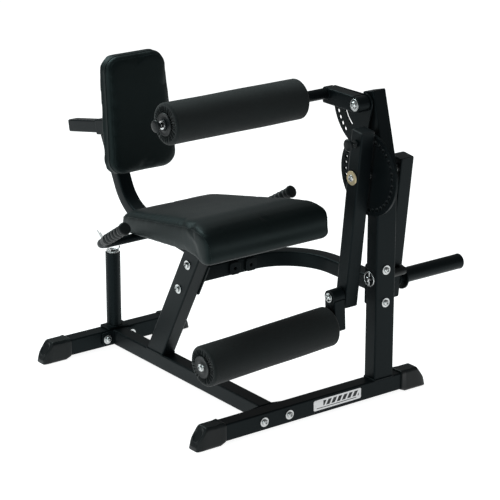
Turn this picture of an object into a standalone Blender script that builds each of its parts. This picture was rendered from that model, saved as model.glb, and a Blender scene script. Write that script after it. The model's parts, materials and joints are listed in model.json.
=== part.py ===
"""Plate-loaded leg extension and leg curl machine.

Layout frame: X runs across the seat (the user's left is +X), Y runs to the
rear of the machine, Z is up and the floor is Z = 0.  X = 0 is the middle of
the seat and Y = 0 the middle of the front floor beam.  One empty then moves
the whole machine so that the middle of its outer box stands on the origin.
"""
import math

import bmesh
import bpy
from mathutils import Matrix, Vector

MM = 0.001
GAP = 0.3                      # clearance between pieces that touch

# Tube sections: width across X, other side, wall, corner radius.
BEAM_WIDTH, BEAM_HEIGHT = 50, 55
POST_WIDE, POST_DEEP = 75, 50
SQUARE = 50
WALL = 3
CORNER = 4

# Floor frame.
BEAM_BOTTOM = 10
BEAM_TOP = BEAM_BOTTOM + BEAM_HEIGHT
REAR_Y = 859
FRONT_LEFT, FRONT_RIGHT = -190, 490     # inner ends of the two front feet
REAR_HALF = 185
FOOT_LENGTH = 102
FOOT_POCKET = 42
FOOT_WIDTH, FOOT_HEIGHT = 60, 70
FLANGE = 6
FLANGE_WIDTH, FLANGE_HEIGHT = 134, 40
BOLT_SPREAD = 95

# Seat post, curved brace and upright.
POST_BASE_Y = 589
POST_LEAN = math.radians(28.8)
BRACE_Z = 369
BRACE_Y = 418
BRACE_BEND = 190
UPRIGHT_X = 418
UPRIGHT_TOP = 736
UPPER_LEAN = math.radians(15)
UPPER_LENGTH = 238
BRACE_BOLTS = 106

# Main pivot: leg lever, locking disc and weight arm all turn about it.
PIVOT_Y, PIVOT_Z = 0, 731
SHAFT_RADIUS = 15
BARREL_RADIUS = 21
ARM_LEAN = math.radians(6.8)
LEVER_X = 324
LEVER_UP, LEVER_DOWN = 146, 422
DISC_X, DISC_RADIUS, DISC_THICK = 364.5, 129, 8
PIN_CIRCLE, PIN_PITCH = 110, math.radians(10)
PIN_HOLE = 6.6
PIN_RADIUS = 5.9
WEIGHT_X = 492
WEIGHT_UP, WEIGHT_DOWN = 36, 428
PEG_DROP, PEG_END, PEG_RADIUS = 377, 783, 24.5
LINK_DROP = 387
STOP_ROD, STOP_RUBBER = 8, 14.2
STOP_Z = 395
STOP_Y = ((PIVOT_Z - STOP_Z) * math.tan(ARM_LEAN)
          - (SQUARE / 2 + STOP_RUBBER + GAP) / math.cos(ARM_LEAN))

# Leg roller on its free link, whose play lets the roller's far end hang lower.
LINK_X, LINK_WIDTH = 275.5, 42
LINK_LENGTH = 90
LINK_DROOP = math.radians(2.7)
LINK_PIN = 10
ROLLER_RADIUS = 63
LOWER_LEFT, LOWER_RIGHT = -226, 246
ROLLER_SHAFT = 12.5

# Thigh hold-down.
HOLD_Y, HOLD_Z = 58, 935
HOLD_X, HOLD_WIDTH, HOLD_HEIGHT = 371, 40, 50
HOLD_REACH, HOLD_RISE = 137, math.radians(3.3)
UPPER_LEFT, UPPER_RIGHT = -243, 242
QUADRANT_X, QUADRANT_THICK = 395.5, 5
QUADRANT_RADIUS = 152.5
QUADRANT_PITCH = math.radians(8.4)
SLOT_RADIUS, SLOT_HALF_WIDTH = 100.5, 4.5
HOLD_SHAFT, HOLD_SHAFT_BORE = 17, 8

# Seat and handlebar.  The underside rises to the front at SEAT_RISE.
SEAT_FRONT_Y, SEAT_REAR_Y = 8, 556
SEAT_UNDER_Z, SEAT_UNDER_Y = 522, 462
SEAT_RISE = math.radians(7.4)
SEAT_FRONT_HALF, SEAT_REAR_HALF = 230, 175
SEAT_CORNER = 14
SEAT_PLATE = 4
BAR_RADIUS, BAR_BEND = 13, 45
BAR_Y, BAR_Z, BAR_HALF = 487, 505, 298
TIP_X, TIP_Y, TIP_Z = 312, 308, 611
GRIP_LENGTH, GRIP_RADIUS, GRIP_BORE = 154, 17, 13.8

# Backrest.
SUPPORT_WIDE, SUPPORT_DEEP = 50, 40
SLEEVE_Y, SLEEVE_Z, SLEEVE_LENGTH = 872, 746.7, 70
TUBE_FALL = math.radians(11.2)
TUBE_SIDE, TUBE_END_Y = 40, 1076
BACK_HOLE_PITCH = 25
BACK_Y, BACK_Z = 682.4, 835               # middle of the cushion's front face
BACK_LEAN = math.radians(7.5)
BACK_HEIGHT, BACK_THICK = 374, 42
BACK_TOP_HALF, BACK_BOTTOM_HALF = 111, 128

# Storage post behind the seat.
STORE_RADIUS, STORE_TOP = 24.5, 324

# The outer box of the machine, in the layout frame: from the right grip to
# the end of the weight peg, and from the disc's rim to the end of the back tube.
BOX_MIN_X, BOX_MAX_X = -331.74, PEG_END
BOX_MIN_Y = PIVOT_Y - DISC_RADIUS
BOX_MAX_Y = TUBE_END_Y + TUBE_SIDE / 2 * math.sin(TUBE_FALL)


# ---------------------------------------------------------------- materials

def make_material(name, colour, roughness, metallic=0.0):
    material = bpy.data.materials.new(name)
    material.use_nodes = True
    shader = material.node_tree.nodes["Principled BSDF"]
    shader.inputs["Base Color"].default_value = (*colour, 1)
    shader.inputs["Roughness"].default_value = roughness
    shader.inputs["Metallic"].default_value = metallic
    material.diffuse_color = (*colour, 1)
    return material


def make_materials():
    return {
        "powder": make_material("black_powder_coat", (0.022, 0.024, 0.026), 0.45),
        "vinyl": make_material("black_vinyl", (0.012, 0.013, 0.014), 0.42),
        "cover": make_material("matte_roller_cover", (0.008, 0.008, 0.009), 0.8),
        "rubber": make_material("black_rubber", (0.014, 0.014, 0.015), 0.65),
        "zinc": make_material("zinc_plate", (0.62, 0.62, 0.6), 0.3, 1.0),
        "brass": make_material("brass_washer", (0.75, 0.6, 0.35), 0.35, 1.0),
        "plastic": make_material("black_plastic", (0.015, 0.015, 0.017), 0.5),
    }


# ------------------------------------------------------------ mesh helpers

def rounded_rectangle(width, depth, radius=CORNER, steps=2):
    """Corner-rounded outline, counter-clockwise, as (u, v) pairs."""
    points = []
    for quarter, (sign_u, sign_v) in enumerate(((1, 1), (-1, 1), (-1, -1), (1, -1))):
        centre_u = sign_u * (width / 2 - radius)
        centre_v = sign_v * (depth / 2 - radius)
        for step in range(steps + 1):
            angle = math.pi / 2 * (quarter + step / steps)
            points.append((centre_u + radius * math.cos(angle),
                           centre_v + radius * math.sin(angle)))
    return points


def circle(radius, sides=24, start=0.0):
    return [(radius * math.cos(start + math.tau * i / sides),
             radius * math.sin(start + math.tau * i / sides)) for i in range(sides)]


def ring(outline, origin, across, up):
    """An outline placed in space: u runs along across and v along up."""
    origin, across, up = Vector(origin), Vector(across), Vector(up)
    return [origin + u * across + v * up for u, v in outline]


def slid_to_plane(points, direction, plane_point, plane_normal):
    """Each point moved along direction until it lies in the plane."""
    direction, normal = Vector(direction), Vector(plane_normal)
    return [p + direction * ((Vector(plane_point) - p).dot(normal) / direction.dot(normal))
            for p in points]


def skin(rings, closed):
    """Faces between successive rings; the ends are capped unless closed."""
    mesh = bmesh.new()
    loops = [[mesh.verts.new(p) for p in points] for points in rings]
    count = len(loops[0])
    pairs = list(zip(loops, loops[1:]))
    if closed:
        pairs.append((loops[-1], loops[0]))
    else:
        mesh.faces.new(loops[0])
        mesh.faces.new(loops[-1])
    for lower, upper in pairs:
        for i in range(count):
            j = (i + 1) % count
            mesh.faces.new((lower[i], lower[j], upper[j], upper[i]))
    bmesh.ops.recalc_face_normals(mesh, faces=mesh.faces[:])
    return mesh


def plate(outline, thickness, holes=()):
    """A flat plate in local X (thickness), Y and Z, with holes cut through."""
    mesh = bmesh.new()
    edges = []
    for points in (outline, *holes):
        verts = [mesh.verts.new((-thickness / 2, y, z)) for y, z in points]
        edges += [mesh.edges.new((a, b)) for a, b in zip(verts, verts[1:] + verts[:1])]
    bmesh.ops.triangle_fill(mesh, use_beauty=True, use_dissolve=False, edges=edges)
    swept = bmesh.ops.extrude_face_region(mesh, geom=mesh.faces[:])
    moved = [item for item in swept["geom"] if isinstance(item, bmesh.types.BMVert)]
    bmesh.ops.translate(mesh, verts=moved, vec=(thickness, 0, 0))
    bmesh.ops.recalc_face_normals(mesh, faces=mesh.faces[:])
    return mesh


def turned(profile, sides=24, bore=None):
    """A body turned about local X from (x, radius) pairs, with a bore if given."""
    rings = [[Vector((x, y, z)) for y, z in circle(radius, sides)] for x, radius in profile]
    if bore:
        for x in (profile[-1][0], profile[0][0]):
            rings.append([Vector((x, y, z)) for y, z in circle(bore, sides)])
    return skin(rings, closed=bool(bore))


def straight_tube(start, end, outline, inner, across, up, cap=None):
    """A hollow straight tube.  cap is a thickness that closes its far end."""
    axis = (Vector(end) - Vector(start)).normalized()
    outside = [ring(outline, start, across, up), ring(outline, end, across, up)]
    depth = Vector(end) - axis * (cap or 0)
    inside = [ring(inner, depth, across, up), ring(inner, start, across, up)]
    if cap:
        return skin([outside[1], outside[0], inside[1], inside[0]], closed=False)
    return skin(outside + inside, closed=True)


def add(name, mesh, material, parent, location=(0, 0, 0), turn_x=0.0, smooth=None):
    """Turns a bmesh in millimetres into an object under parent."""
    data = bpy.data.meshes.new(name)
    bmesh.ops.scale(mesh, vec=(MM, MM, MM), verts=mesh.verts[:])
    mesh.to_mesh(data)
    mesh.free()
    data.materials.append(material)
    if smooth:
        data.shade_smooth()
        data.set_sharp_from_angle(angle=math.radians(smooth))
    thing = bpy.data.objects.new(name, data)
    bpy.context.scene.collection.objects.link(thing)
    thing.parent = parent
    thing.location = Vector(location) * MM
    thing.rotation_euler.x = turn_x
    return thing


def pivot(name, parent, location=(0, 0, 0), turn_x=0.0):
    """An empty, at a joint or at the root of a group."""
    empty = bpy.data.objects.new(name, None)
    bpy.context.scene.collection.objects.link(empty)
    empty.parent = parent
    empty.location = Vector(location) * MM
    empty.rotation_euler.x = turn_x
    return empty


def combine(thing, mesh, operation, location=(0, 0, 0), parent=None):
    """Cuts or joins a hidden helper body, given in the frame of parent or thing's own."""
    helper = add(thing.name + "_helper", mesh, thing.data.materials[0],
                 parent or thing.parent, location)
    helper.hide_render = True
    helper.display_type = "WIRE"
    modifier = thing.modifiers.new(operation.title(), "BOOLEAN")
    modifier.operation = operation
    modifier.object = helper
    return thing


def bore_x(thing, x_from, x_to, y, z, radius, sides=24):
    """A round hole along X, given in the parent's frame."""
    return combine(thing, turned([(x_from, radius), (x_to, radius)], sides),
                   "DIFFERENCE", (0, y, z))


def bolt_mesh(head=8.5, washer=15, height=8):
    """Domed head on a washer, standing on local X = 0 towards -X."""
    return turned([(0, washer), (-2.5, washer), (-2.5, head + 2),
                   (-height, head), (-height - 2, head - 3.5)], 16)


def arc(centre, radius, start, end, steps):
    return [(centre[0] + radius * math.cos(start + (end - start) * i / steps),
             centre[1] + radius * math.sin(start + (end - start) * i / steps))
            for i in range(steps + 1)]


X_AXIS, Y_AXIS, Z_AXIS = Vector((1, 0, 0)), Vector((0, 1, 0)), Vector((0, 0, 1))


# ------------------------------------------------------------- floor frame

def add_floor_beams(parts, material):
    outline = rounded_rectangle(BEAM_WIDTH, BEAM_HEIGHT)
    inner = rounded_rectangle(BEAM_WIDTH - 2 * WALL, BEAM_HEIGHT - 2 * WALL, 2)
    middle = BEAM_BOTTOM + BEAM_HEIGHT / 2
    reach = FOOT_POCKET - GAP
    spans = (("front_beam", FRONT_LEFT - reach, FRONT_RIGHT + reach, 0),
             ("rear_beam", -REAR_HALF - reach, REAR_HALF + reach, REAR_Y))
    for name, left, right, y in spans:
        add(name, straight_tube((left, y, middle), (right, y, middle), outline, inner,
                                Y_AXIS, Z_AXIS), material["powder"], parts)


def add_main_beam(parts, material):
    """The long beam and its two welded flanges."""
    middle = BEAM_BOTTOM + BEAM_HEIGHT / 2
    wide = rounded_rectangle(FLANGE_WIDTH, FLANGE_HEIGHT, 6)
    outline = rounded_rectangle(BEAM_WIDTH, BEAM_HEIGHT - 5)
    inner = rounded_rectangle(BEAM_WIDTH - 2 * WALL, BEAM_HEIGHT - 5 - 2 * WALL, 2)
    front = BEAM_WIDTH / 2 + GAP
    rear = REAR_Y - BEAM_WIDTH / 2 - GAP
    stations = ((wide, front), (wide, front + FLANGE), (outline, front + FLANGE),
                (outline, rear - FLANGE), (wide, rear - FLANGE), (wide, rear),
                (inner, rear), (inner, front))
    rings = [ring(shape, (0, y, middle + 2.5), X_AXIS, Z_AXIS) for shape, y in stations]
    add("main_beam", skin(rings, closed=True), material["powder"], parts)


def foot_mesh(toe):
    """A rubber shoe in X and Z, toe pointing to the given side of X = 0."""
    profile = [(0, 0), (0, FOOT_HEIGHT), (66, FOOT_HEIGHT), (94, 38), (FOOT_LENGTH, 16),
               (FOOT_LENGTH, 0)]
    half = FOOT_WIDTH / 2
    rings = [[Vector((toe * x, y, z)) for x, z in profile] for y in (-half, half)]
    return skin(rings, closed=False)


def add_feet(parts, material):
    places = (("foot_front_right", FRONT_LEFT, 0, -1), ("foot_front_left", FRONT_RIGHT, 0, 1),
              ("foot_rear_right", -REAR_HALF, REAR_Y, -1), ("foot_rear_left", REAR_HALF, REAR_Y, 1))
    pocket = rounded_rectangle(BEAM_WIDTH + 2 * GAP, BEAM_HEIGHT + 2 * GAP, CORNER)
    middle = BEAM_BOTTOM + BEAM_HEIGHT / 2
    for name, x, y, toe in places:
        foot = add(name, foot_mesh(toe), material["rubber"], parts, (x, y, 0))
        bevel = foot.modifiers.new("Bevel", "BEVEL")
        bevel.width = 3 * MM
        bevel.segments = 1
        ends = [ring(pocket, (toe * step, 0, middle), Y_AXIS, Z_AXIS)
                for step in (-10, FOOT_POCKET)]
        combine(foot, skin(ends, closed=False), "DIFFERENCE", (x, y, 0))


def add_beam_bolts(parts, material):
    middle = BEAM_BOTTOM + BEAM_HEIGHT / 2
    rear_face = REAR_Y - BEAM_WIDTH / 2 - FLANGE - 2 * GAP
    for row, face in (("front", -BEAM_WIDTH / 2 - GAP), ("rear", rear_face)):
        for side, sign in (("right", -1), ("left", 1)):
            bolt = add(f"bolt_{row}_{side}", bolt_mesh(), material["zinc"], parts,
                       (sign * BOLT_SPREAD / 2, face, middle), smooth=40)
            bolt.rotation_euler.z = math.pi / 2


def add_storage_post(parts, material):
    """Upright plate-storage tube on the rear beam, with its base plate."""
    sides = 24
    base = rounded_rectangle(84, 50, 8, 5)
    outside, inside = circle(STORE_RADIUS, sides), circle(STORE_RADIUS - 3, sides)
    bottom = BEAM_TOP + GAP
    stations = ((base, bottom), (base, bottom + 6), (outside, bottom + 6),
                (outside, STORE_TOP), (inside, STORE_TOP), (inside, bottom))
    rings = [ring(shape, (0, REAR_Y, z), X_AXIS, Y_AXIS) for shape, z in stations]
    add("storage_post", skin(rings, closed=True), material["powder"], parts, smooth=40)


def add_spring_clip(parts, material):
    """Wire spring clip kept in the open top of the storage post."""
    coil = [(STORE_TOP - 20, 19.5), (STORE_TOP + 6, 19.5)]
    rings = [ring(circle(radius), (0, REAR_Y, z), X_AXIS, Y_AXIS) for z, radius in coil]
    for z in (STORE_TOP + 6, STORE_TOP - 20):
        rings.append(ring(circle(13), (0, REAR_Y, z), X_AXIS, Y_AXIS))
    clip = add("spring_clip", skin(rings, closed=True), material["zinc"], parts, smooth=40)
    for start, end in (((-16, 0, 3), (-62, -8, 88)), ((16, 0, 3), (28, 4, 14))):
        wire = circle(3, 8)
        foot = Vector((0, REAR_Y, STORE_TOP)) + Vector(start)
        tip = Vector((0, REAR_Y, STORE_TOP)) + Vector(end)
        way = (tip - foot).normalized()
        side = way.cross(Y_AXIS).normalized()
        ends = [ring(wire, place, side, way.cross(side)) for place in (foot, tip)]
        combine(clip, skin(ends, closed=False), "UNION")


# ------------------------------------------- seat post, brace and uprights

def seat_under(y, below=0.0):
    """A point on the middle of the seat's underside, or below it."""
    z = SEAT_UNDER_Z + (SEAT_UNDER_Y - y) * math.tan(SEAT_RISE)
    return Vector((0, y, z - below / math.cos(SEAT_RISE)))


def post_point(z):
    return Vector((0, POST_BASE_Y - (z - BEAM_TOP) * math.tan(POST_LEAN), z))


def add_seat_post(parts, material):
    """Leaning tube, cut level at the floor beam and along the seat at its top."""
    axis = Vector((0, -math.sin(POST_LEAN), math.cos(POST_LEAN)))
    depth_way = Vector((0, math.cos(POST_LEAN), math.sin(POST_LEAN)))
    seat_way = Vector((0, math.sin(SEAT_RISE), math.cos(SEAT_RISE)))
    under_seat = seat_under(SEAT_UNDER_Y, SEAT_PLATE + 2 * GAP)
    shapes = (rounded_rectangle(SQUARE, POST_WIDE), rounded_rectangle(SQUARE - 6, POST_WIDE - 6, 2))
    rings = []
    for shape in shapes:
        points = ring(shape, post_point(200), X_AXIS, depth_way)
        rings.append(slid_to_plane(points, axis, (0, 0, BEAM_TOP + GAP), Z_AXIS))
        rings.append(slid_to_plane(points, axis, under_seat, seat_way))
    add("seat_post", skin([rings[0], rings[1], rings[3], rings[2]], closed=True),
        material["powder"], parts)
    bolt_way = axis * (BRACE_BOLTS / 2)
    centre = post_point(BRACE_Z - 4)
    for name, sign in (("lower", -1), ("upper", 1)):
        place = centre + bolt_way * sign + Vector((-SQUARE / 2 - GAP, 0, 0))
        add(f"bolt_post_{name}", bolt_mesh(), material["zinc"], parts, place, smooth=40)


def brace_path():
    """Centres and sideways directions of the curved brace, seat post first."""
    start = SQUARE / 2 + GAP
    stop = POST_DEEP / 2 + GAP
    bend_x, bend_y = UPRIGHT_X - BRACE_BEND, BRACE_Y - BRACE_BEND
    path = [((start + FLANGE, BRACE_Y), 0.0)]
    for step in range(13):
        angle = math.pi / 2 * step / 12
        path.append(((bend_x + BRACE_BEND * math.sin(angle),
                      bend_y + BRACE_BEND * math.cos(angle)), angle))
    path.append(((UPRIGHT_X, stop + FLANGE), math.pi / 2))
    return path


def add_curved_brace(parts, material):
    """Square tube from the side of the seat post round to the upright."""
    outline = rounded_rectangle(SQUARE, SQUARE)
    inner = rounded_rectangle(SQUARE - 2 * WALL, SQUARE - 2 * WALL, 2)
    lean = Matrix.Rotation(POST_LEAN, 2)
    tilted = [tuple(lean @ Vector(p)) for p in rounded_rectangle(POST_WIDE, 130, 6)]
    flat = rounded_rectangle(POST_WIDE, 130, 6)
    path = brace_path()

    def section(shape, centre, angle, shift=0.0):
        along = Vector((math.cos(angle), -math.sin(angle), 0))
        side = Vector((math.sin(angle), math.cos(angle), 0))
        origin = Vector((*centre, BRACE_Z)) + along * shift
        return ring(shape, origin, side, Z_AXIS)

    first, last = path[0], path[-1]
    rings = [section(tilted, *first, -FLANGE), section(tilted, *first)]
    rings += [section(outline, *place) for place in path]
    rings += [section(flat, *last), section(flat, *last, FLANGE)]
    rings.append(section(inner, *last, FLANGE))
    rings += [section(inner, *place) for place in reversed(path)]
    rings.append(section(inner, *first, -FLANGE))
    add("curved_brace", skin(rings, closed=True), material["powder"], parts)


def add_brace_tabs(parts, material):
    """Two small drilled tabs on the front of the brace."""
    face = BRACE_Y - SQUARE / 2 - 3 - GAP
    for name, x in (("inner", 150), ("outer", 212)):
        tab = plate(rounded_rectangle(40, 40, 8), 6, [circle(6, 12)])
        thing = add(f"brace_tab_{name}", tab, material["powder"], parts, (x, face, BRACE_Z - 2))
        thing.rotation_euler.z = math.pi / 2


def add_upright(parts, material):
    outline = rounded_rectangle(POST_WIDE, POST_DEEP)
    inner = rounded_rectangle(POST_WIDE - 2 * WALL, POST_DEEP - 2 * WALL, 2)
    foot, top = (UPRIGHT_X, 0, BEAM_TOP + GAP), (UPRIGHT_X, 0, UPRIGHT_TOP)
    post = add("upright", straight_tube(foot, top, outline, inner, X_AXIS, Y_AXIS),
               material["powder"], parts)
    half = POST_WIDE / 2 + 10
    bore_x(post, UPRIGHT_X - half, UPRIGHT_X + half, PIVOT_Y, PIVOT_Z, BARREL_RADIUS + GAP)
    bore_x(post, UPRIGHT_X - half, UPRIGHT_X + half, STOP_Y, STOP_Z, STOP_ROD + GAP, 12)
    for name, sign in (("lower", -1), ("upper", 1)):
        bolt = add(f"bolt_upright_{name}", bolt_mesh(), material["zinc"], parts,
                   (UPRIGHT_X, -POST_DEEP / 2 - GAP, BRACE_Z + sign * BRACE_BOLTS / 2), smooth=40)
        bolt.rotation_euler.z = math.pi / 2


def upper_post_x():
    return UPRIGHT_X + (POST_WIDE - SQUARE) / 2


def add_upper_post(parts, material):
    """The narrower post that leans back from the top of the upright."""
    axis = Vector((0, math.sin(UPPER_LEAN), math.cos(UPPER_LEAN)))
    depth_way = Vector((0, math.cos(UPPER_LEAN), -math.sin(UPPER_LEAN)))
    foot = Vector((upper_post_x(), 0.9, UPRIGHT_TOP + GAP))
    head = foot + axis * UPPER_LENGTH
    outside = ring(rounded_rectangle(SQUARE, SQUARE), head, X_AXIS, depth_way)
    inside = ring(rounded_rectangle(SQUARE - 6, SQUARE - 6, 2), head - axis * 4,
                  X_AXIS, depth_way)
    level = ((0, 0, UPRIGHT_TOP + GAP), Z_AXIS)
    rings = [outside, slid_to_plane(outside, axis, *level),
             slid_to_plane(inside, axis, *level), inside]
    post = add("upper_post", skin(rings, closed=False), material["powder"], parts)
    bore_x(post, UPRIGHT_X - 60, UPRIGHT_X + 60, PIVOT_Y, PIVOT_Z, BARREL_RADIUS + GAP)


def add_pivot_barrel(parts, material):
    half = POST_WIDE / 2 + 1.5
    profile = [(UPRIGHT_X - half, BARREL_RADIUS), (UPRIGHT_X + half, BARREL_RADIUS)]
    add("pivot_barrel", turned(profile, 24, SHAFT_RADIUS + GAP), material["powder"], parts,
        (0, PIVOT_Y, PIVOT_Z), smooth=40)


def add_quadrant(parts, material):
    """Fixed plate with the hold-down's locking holes and guide slot."""
    top, bottom = math.radians(9), math.radians(-90)
    outline = arc((0, 0), QUADRANT_RADIUS, bottom, top, 16)
    outline += arc((0, 0), 30, math.radians(60), math.radians(180), 5)
    holes = []
    for step in range(7):
        angle = HOLD_RISE - QUADRANT_PITCH * step
        centre = (HOLD_REACH * math.cos(angle), HOLD_REACH * math.sin(angle))
        holes.append(arc(centre, PIN_HOLE, 0, math.tau * 9 / 10, 9))
    first, last = math.radians(-4), math.radians(-53)
    slot = arc((0, 0), SLOT_RADIUS + SLOT_HALF_WIDTH, last, first, 8)
    slot += arc((0, 0), SLOT_RADIUS - SLOT_HALF_WIDTH, first, last, 8)
    holes.append(slot)
    holes.append(circle(9, 12))
    add("quadrant_plate", plate(outline, QUADRANT_THICK, holes), material["powder"], parts,
        (QUADRANT_X, HOLD_Y, HOLD_Z))
    face = QUADRANT_X + QUADRANT_THICK / 2 + GAP
    wall = upper_post_x() - SQUARE / 2 - GAP
    add("hold_down_boss", turned([(face, 21), (wall, 21)], 24, 9), material["powder"], parts,
        (0, HOLD_Y, HOLD_Z), smooth=40)
    arm_face = HOLD_X - HOLD_WIDTH / 2 - GAP
    profile = [(arm_face - 12, 6), (arm_face - 9, 11), (arm_face - 3, 13),
               (arm_face - 3, 19), (arm_face, 19), (arm_face, 8), (wall - 0.5, 8)]
    add("hold_down_bolt", turned(profile, 16), material["zinc"], parts,
        (0, HOLD_Y, HOLD_Z), smooth=40)


def add_stop(parts, material):
    """Removable stop rod in front of the weight arm, with its ring pin."""
    left, right = UPRIGHT_X - POST_WIDE / 2, UPRIGHT_X + POST_WIDE / 2
    rod = add("stop_rod", turned([(left - 18, 6), (left - 15, STOP_ROD), (right + 57, STOP_ROD)], 16),
              material["zinc"], parts, (0, STOP_Y, STOP_Z), smooth=40)
    sleeve = [(right + 3, STOP_RUBBER), (right + 55, STOP_RUBBER), (right + 58, STOP_RUBBER - 2)]
    add("stop_rubber", turned(sleeve, 24, STOP_ROD + GAP), material["rubber"], parts,
        (0, STOP_Y, STOP_Z), smooth=40)
    x = left - 8
    upright_pin = [ring(circle(2, 8), (0, 0, z), X_AXIS, Y_AXIS) for z in (-22, 22)]
    combine(rod, skin([ring(circle(2.4, 8), (0, 0, z), X_AXIS, Y_AXIS) for z in (-20, 20)], False),
            "DIFFERENCE", (x, STOP_Y, STOP_Z))
    loops = []
    for step in range(20):
        angle = math.tau * step / 20
        outward = Vector((0, math.cos(angle), math.sin(angle)))
        loops.append(ring(circle(2.4, 8), outward * 22, X_AXIS, outward))
    pin = add("linch_pin", skin(loops, closed=True), material["zinc"], parts,
              (x, STOP_Y, STOP_Z), smooth=50)
    combine(pin, skin(upright_pin, closed=False), "UNION", (x, STOP_Y, STOP_Z))


# --------------------------------------------- weight arm and locking disc

def add_weight_arm(parts, material):
    """Everything that turns with the shaft: arm, disc, peg and end bolt."""
    group = pivot("weight_arm_pivot", parts, (0, PIVOT_Y, PIVOT_Z), ARM_LEAN)
    outline = rounded_rectangle(SQUARE, SQUARE)
    inner = rounded_rectangle(SQUARE - 2 * WALL, SQUARE - 2 * WALL, 2)
    arm = add("weight_arm", straight_tube((WEIGHT_X, 0, -WEIGHT_DOWN), (WEIGHT_X, 0, WEIGHT_UP),
                                          outline, inner, X_AXIS, Y_AXIS, cap=4),
              material["powder"], group)
    bore_x(arm, WEIGHT_X - 30, WEIGHT_X + 30, 0, 0, SHAFT_RADIUS + GAP)
    far = WEIGHT_X + SQUARE / 2
    near = LEVER_X - SQUARE / 2
    add("pivot_shaft", turned([(near - 1, SHAFT_RADIUS), (far + 1, SHAFT_RADIUS)]),
        material["zinc"], group, smooth=40)
    face = near - 1 - GAP
    profile = [(face, 22), (face - 4, 22), (face - 4, 15), (face - 10, 13), (face - 12, 8)]
    add("pivot_bolt", turned(profile, 20), material["brass"], group, smooth=40)
    add_locking_disc(group, material)
    start = far + GAP
    rings = [(PEG_END, PEG_RADIUS - 3), (PEG_END - 3, PEG_RADIUS), (start + 22, PEG_RADIUS),
             (start + 22, 40), (start + 16, 40), (start + 16, PEG_RADIUS), (start, PEG_RADIUS),
             (start, PEG_RADIUS - 4), (PEG_END - 6, PEG_RADIUS - 4)]
    add("weight_peg", turned(rings), material["powder"], group, (0, 0, -PEG_DROP), smooth=40)


def add_locking_disc(group, material):
    holes = []
    for step in range(36):
        angle = math.pi / 2 + PIN_PITCH * step
        centre = (PIN_CIRCLE * math.cos(angle), PIN_CIRCLE * math.sin(angle))
        holes.append([(centre[0] + y, centre[1] + z) for y, z in circle(PIN_HOLE, 8, 0.39)])
    holes.append(circle(SHAFT_RADIUS + GAP, 24))
    add("locking_disc", plate(circle(DISC_RADIUS, 72), DISC_THICK, holes),
        material["powder"], group, (DISC_X, 0, 0))


# --------------------------------------------------------------- leg lever

def add_leg_lever(parts, material):
    group = pivot("leg_lever_pivot", parts, (0, PIVOT_Y, PIVOT_Z), ARM_LEAN)
    outline = rounded_rectangle(SQUARE, SQUARE)
    inner = rounded_rectangle(SQUARE - 2 * WALL, SQUARE - 2 * WALL, 2)
    lever = add("leg_lever", straight_tube((LEVER_X, 0, -LEVER_DOWN), (LEVER_X, 0, LEVER_UP),
                                           outline, inner, X_AXIS, Y_AXIS, cap=4),
                material["powder"], group)
    left, right = LEVER_X - SQUARE / 2, LEVER_X + SQUARE / 2
    bore_x(lever, left - 5, right + 5, 0, 0, SHAFT_RADIUS + GAP)
    bore_x(lever, left - 5, right + 5, 0, PIN_CIRCLE, PIN_RADIUS + GAP, 12)
    bore_x(lever, left - 5, right + 5, 0, -LINK_DROP, LINK_PIN + GAP, 16)
    housing = [(left - GAP, 11), (left - 5, 11), (left - 6, 10)]
    add("lever_pin_housing", turned(housing, 16, PIN_RADIUS + GAP), material["zinc"], group,
        (0, 0, PIN_CIRCLE), smooth=40)
    head = LINK_X - LINK_WIDTH / 2 - 5 * GAP
    profile = [(head - 9, 8), (head - 7, 11), (head - 2.5, 12), (head - 2.5, 15), (head, 15),
               (head, LINK_PIN), (right + 2, LINK_PIN)]
    add("link_pin", turned(profile, 16), material["zinc"], group, (0, 0, -LINK_DROP), smooth=40)
    add_pull_pin(group, material, "lever_pin", (0, 0, PIN_CIRCLE), left - 36,
                 DISC_X - DISC_THICK / 2 - 1)
    add_link(group, material)


def add_pull_pin(group, material, name, location, knob_end, tip):
    """A spring pin along X with a mushroom knob at its -X end."""
    empty = pivot(name + "_slide", group, location)
    profile = [(knob_end, 12), (knob_end + 3, 17), (knob_end + 8, 19), (knob_end + 13, 17),
               (knob_end + 17, 11), (knob_end + 20, 9), (knob_end + 20, PIN_RADIUS),
               (tip - 2, PIN_RADIUS), (tip, PIN_RADIUS - 2)]
    add(name, turned(profile, 20), material["plastic"], empty, smooth=40)


def add_link(group, material):
    """Free link under the lever, with the leg roller; both hang a little aslant."""
    hinge = pivot("roller_link_pivot", group, (0, 0, -LINK_DROP), -ARM_LEAN)
    empty = pivot("roller_link_play", hinge)
    empty.location.x, empty.rotation_euler.y = LINK_X * MM, -LINK_DROOP
    left, right = -LINK_WIDTH / 2, LINK_WIDTH / 2
    outline = rounded_rectangle(LINK_WIDTH, SQUARE)
    inner = rounded_rectangle(LINK_WIDTH - 8, SQUARE - 8, 2)
    link = add("roller_link", straight_tube((0, 0, -LINK_LENGTH - 17), (0, 0, -8),
                                            outline, inner, X_AXIS, Y_AXIS),
               material["powder"], empty)
    combine(link, turned([(left, 24), (right, 24)]), "UNION")
    pin_bore = turned([(LINK_X + left - 9, LINK_PIN + GAP), (LINK_X + right + 9, LINK_PIN + GAP)], 16)
    combine(link, pin_bore, "DIFFERENCE", parent=hinge)
    bore_x(link, left - 5, right + 5, 0, -LINK_LENGTH, ROLLER_SHAFT + GAP, 16)
    start = LOWER_LEFT - LINK_X
    profile = [(start - 15, 8), (start - 13, 12), (start - 9, 15),
               (start - 6.6, 15), (start - 6.6, ROLLER_SHAFT), (right + 1, ROLLER_SHAFT)]
    add("roller_shaft", turned(profile), material["zinc"], empty, (0, 0, -LINK_LENGTH), smooth=40)
    spin = pivot("lower_roller_spin", empty, (0, 0, -LINK_LENGTH))
    add_roller(spin, material, "lower", start, LOWER_RIGHT - LINK_X, ROLLER_SHAFT)


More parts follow.
